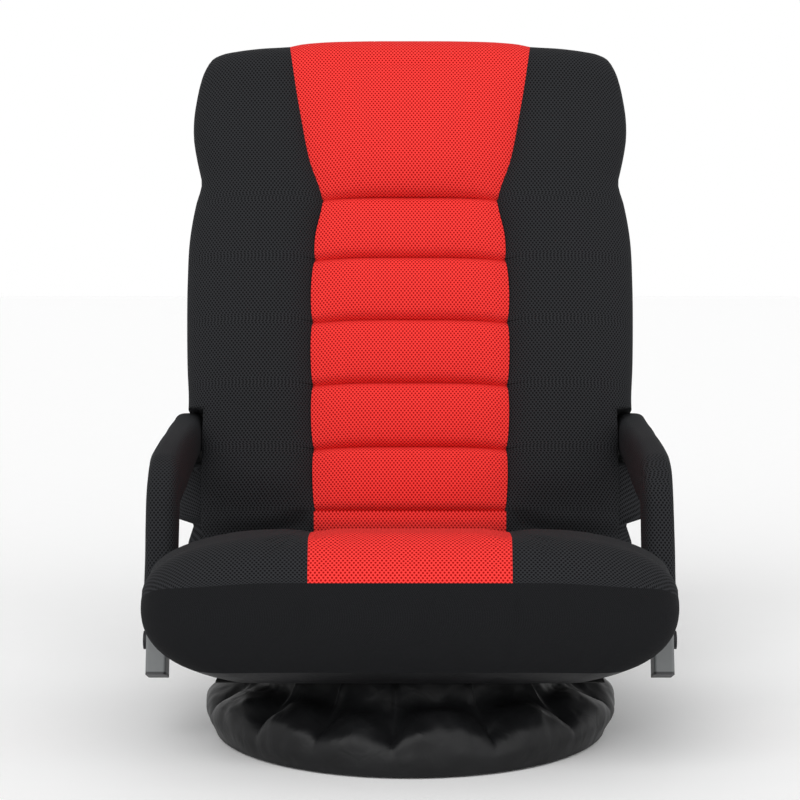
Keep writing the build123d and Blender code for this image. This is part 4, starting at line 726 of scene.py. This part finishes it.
def wing_section(q, height):
    """Across and depth on a wing: the bolster's face at 0, then round the side to its rear at 1."""
    outer = float(through(outline_u, outline_half, height))
    red = float(through(red_u, red_edge, height))
    if q < face_end:
        start = (wing_inner - red) / (outer - red)
        share = start + (1 - start) * math.sin(math.pi / 2 * q / face_end)
        return red + (outer - red) * share, bolster_depth(share, height)
    if q < side_end:
        t = (q - face_end) / (side_end - face_end)
        return outer - rear_inset * t ** 4, side_depth - wing_depth * t
    t = (q - side_end) / (1 - side_end)
    edge = outer - rear_inset
    return edge - (edge - wing_inner) * t, side_depth - wing_depth - rear_inset * t


def wing_sheet(side):
    """Rows of a wing on the given side, from its foot up to the arm."""
    sheet = np.zeros((wing_rows, wing_columns, 3))
    for i, v in enumerate(np.linspace(0, 1, wing_rows)):
        foot_close = math.sqrt(1 - max(0.0, 1 - v / foot_round) ** 2)
        arm_close = math.sqrt(1 - min(1.0, max(0.0, (v - 1 + arm_round) / arm_round)) ** 4)
        for j, q in enumerate(np.linspace(0, 1, wing_columns)):
            x, n = wing_section(q, wing_foot + v * wing_height)
            early = early_least + early_gain * max(0.0, 1 - v / fill_start)
            early *= 1 - float(ease(0.40, 0.56, q))
            full = (early * foot_close + (1 - early) * float(ease(fill_start, fill_end, v))) * arm_close
            arm_line = arm_line_height - arm_line_slope * n
            height = wing_foot + (arm_line - wing_foot) * v
            sheet[i, j] = on_back(side * (wing_inner + (x - wing_inner) * full), n, height)
    return sheet if side > 0 else sheet[:, ::-1]


for side, word in ((1, "left"), (-1, "right")):
    wing = cover("back_bolster_wing_" + word, wing_sheet(side), black_mesh, "back",
                 thickness=0.002)
    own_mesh(wing)


# Arms: a grey painted strut stands on a bolt at each side of the seat, and a padded arm links its
# top to the back. One sleeve of foam-backed air mesh covers strut and arm through the elbow.

tube_paint = finish("grey_tube_paint", (0.150, 0.158, 0.160), 0.45, grain=1800.0, relief=0.0001)
plug_plastic = finish("plug_plastic", (0.03, 0.03, 0.032), 0.5)
dress(tube_paint, "strut_tube_left", "strut_tube_right", "arm_tube_left", "arm_tube_right")
dress(plug_plastic, "strut_plug_left", "strut_plug_right")
black_oxide = finish("black_oxide", (0.02, 0.02, 0.022), 0.5, metallic=0.6, grain=1200.0)
dress(black_oxide, "strut_bolts", "elbow_pin_left", "elbow_pin_right", "arm_studs", "arm_nuts")

arm_x = 0.2702
strut_foot = Vector((-0.057, 0.108))
elbow = Vector((-0.005085, 0.267777))
arm_end = Vector((0.286915, 0.294777))
sleeve_start = 0.034
sleeve_half_width = 0.0172
sleeve_half_depth, sleeve_half_depth_foot, sleeve_half_depth_end = 0.0325, 0.0285, 0.0230
elbow_radius = 0.036
strut_steps, bend_steps, arm_steps, cap_steps, round_steps = 26, 16, 36, 12, 48
sleeve_corner, end_widening, arm_swell = 0.62, 0.0022, 0.0035
crumple_spread, crumple_depth, puff_depth = 7, 0.05, 0.03
least_depth, cap_shortening, cap_narrowing = 0.002, 0.002, 0.55
strut_way = (elbow - strut_foot).normalized()
arm_way = (arm_end - elbow).normalized()
turn_angle = strut_way.angle(arm_way)
tangent_length = elbow_radius * math.tan(turn_angle / 2)
bend_start = elbow - strut_way * tangent_length
inside = Vector((strut_way.y, -strut_way.x))
bend_middle = bend_start + inside * elbow_radius
path = []
strut_run = (bend_start - strut_foot).length - sleeve_start
for s in np.linspace(0, strut_run, strut_steps, endpoint=False):
    path.append((strut_foot + strut_way * (sleeve_start + s), strut_way))
for a in np.linspace(0, turn_angle, bend_steps, endpoint=False):
    spoke = -inside * math.cos(a) + strut_way * math.sin(a)
    path.append((bend_middle + spoke * elbow_radius, strut_way * math.cos(a) + inside * math.sin(a)))
bend_end = elbow + arm_way * tangent_length
arm_run = (arm_end - bend_end).length
for s in np.linspace(0, arm_run, arm_steps, endpoint=False):
    path.append((bend_end + arm_way * s, arm_way))
cap_reach = sleeve_half_depth_end - cap_shortening
for a in np.linspace(0, math.pi / 2, cap_steps):
    path.append((arm_end + arm_way * cap_reach * math.sin(a), arm_way))
around = np.linspace(0, 2 * math.pi, round_steps, endpoint=False)
lap_out = np.sign(np.cos(around)) * np.abs(np.cos(around)) ** sleeve_corner
lap_up = np.sign(np.sin(around)) * np.abs(np.sin(around)) ** sleeve_corner


def arm_sleeve(side):
    """Rings of the padded sleeve on the given side, from the strut's foot to the arm's rear end."""
    rings = []
    foot_rings = ((0.72, 0.70, -0.001), (0.93, 0.93, -0.0005))
    for width, depth, drop in foot_rings:
        point, way = path[0]
        width *= sleeve_half_width
        depth *= sleeve_half_depth_foot
        rings.append((point + way * drop, way, width, depth, 0.0, 0.0))
    for k, (point, way) in enumerate(path):
        share = k / (strut_steps + bend_steps)
        depth = sleeve_half_depth_foot + (sleeve_half_depth - sleeve_half_depth_foot) * min(1, share) ** 2
        depth += (sleeve_half_depth_end - sleeve_half_depth) * float(ease(0.06, 0.26, point.x))
        width = sleeve_half_width + end_widening * float(ease(0.16, 0.26, point.x))
        past = (point - arm_end).dot(way)
        if past > 0:
            depth *= math.sqrt(max(0.0, 1 - (past / cap_reach) ** 2))
            width *= 1 - cap_narrowing * (past / cap_reach) ** 4
        bend = math.exp(-((k - strut_steps - bend_steps / 2) / crumple_spread) ** 2)
        full = arm_swell * float(ease(-0.01, 0.05, point.x) * (1 - ease(0.20, 0.28, point.x)))
        rings.append((point, way, width, max(depth, least_depth), bend, full))
    points = np.zeros((len(rings), len(around), 3))
    for i, (point, way, width, depth, bend, full) in enumerate(rings):
        across = Vector((-way.y, way.x))
        for j in range(len(around)):
            inner = max(0.0, -lap_up[j])
            crumple = 1 - crumple_depth * bend * inner * (1 + math.sin(1.7 * i))
            spot = point + across * (depth * lap_up[j] * crumple)
            puff = 1 + puff_depth * noise.noise(Vector((side * 9 + spot.x * 22, spot.y * 22, j * 0.06)))
            out = arm_x + width * lap_out[j] * puff + full * max(0.0, lap_out[j])
            points[i, j] = (side * out, spot.x, spot.y)
    return points if side > 0 else points[:, ::-1]


for side, word in ((1, "left"), (-1, "right")):
    sleeve = sew("arm_sleeve_" + word, arm_sleeve(side)[:, ::-1], wrap=True)
    thicken(sleeve, 0.003, black_mesh, cover_backing)
    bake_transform(sleeve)
    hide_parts("strut_pad_" + word, "arm_pad_" + word)


# Studio: a pale paper floor, a white surround and two wide, soft lamps, with the camera in front
# of the chair and a little above it.

floor_ends = (-9.0, 9.0)
floor_points = np.array([[(x, y, 0.0) for x in floor_ends] for y in floor_ends])
floor = sew("floor", floor_points)
floor.data.materials.append(finish("floor_paper", (0.995, 0.995, 0.995), 0.95, relief=0.0, mottle=0.003))

world = bpy.data.worlds.new("surround")
scene.world = world
world.use_nodes = True
nodes, links = world.node_tree.nodes, world.node_tree.links
plain = nodes["Background"]
plain.inputs["Color"].default_value = (1, 1, 1, 1)
plain.inputs["Strength"].default_value = 0.62
white = nodes.new("ShaderNodeBackground")
white.inputs["Color"].default_value = (1, 1, 1, 1)
white.inputs["Strength"].default_value = 1.0
rays = nodes.new("ShaderNodeLightPath")
seen = nodes.new("ShaderNodeMath")
seen.operation = "MAXIMUM"
seen_all = nodes.new("ShaderNodeMath")
seen_all.operation = "MAXIMUM"
links.new(rays.outputs["Is Camera Ray"], seen.inputs[0])
links.new(rays.outputs["Is Glossy Ray"], seen.inputs[1])
links.new(seen.outputs["Value"], seen_all.inputs[0])
links.new(rays.outputs["Is Transmission Ray"], seen_all.inputs[1])
either = nodes.new("ShaderNodeMixShader")
links.new(seen_all.outputs["Value"], either.inputs["Fac"])
links.new(plain.outputs["Background"], either.inputs[1])
links.new(white.outputs["Background"], either.inputs[2])
links.new(either.outputs["Shader"], nodes["World Output"].inputs["Surface"])

for name, place, softness, strength in (
    ("key_lamp", (-1.0, -1.8, 1.6), 50.0, 1.2),
    ("fill_lamp", (1.3, -1.8, 1.1), 60.0, 0.8),
):
    light = bpy.data.lights.new(name, "SUN")
    light.angle = math.radians(softness)
    light.energy = strength
    lamp = bpy.data.objects.new(name, light)
    lamp.location = place
    lamp.rotation_euler = (-Vector(place)).to_track_quat("-Z", "Y").to_euler()
    scene.collection.objects.link(lamp)

lens = bpy.data.cameras.new("camera")
lens.sensor_width = 36.0
lens.lens = 99.78
lens.shift_x = -0.0125
lens.shift_y = 0.0045
camera = bpy.data.objects.new("camera", lens)
camera.location = (0, -2.4134, 0.6038)
camera.rotation_euler = (math.radians(90 - 5.8), 0, 0)
scene.collection.objects.link(camera)
scene.camera = camera
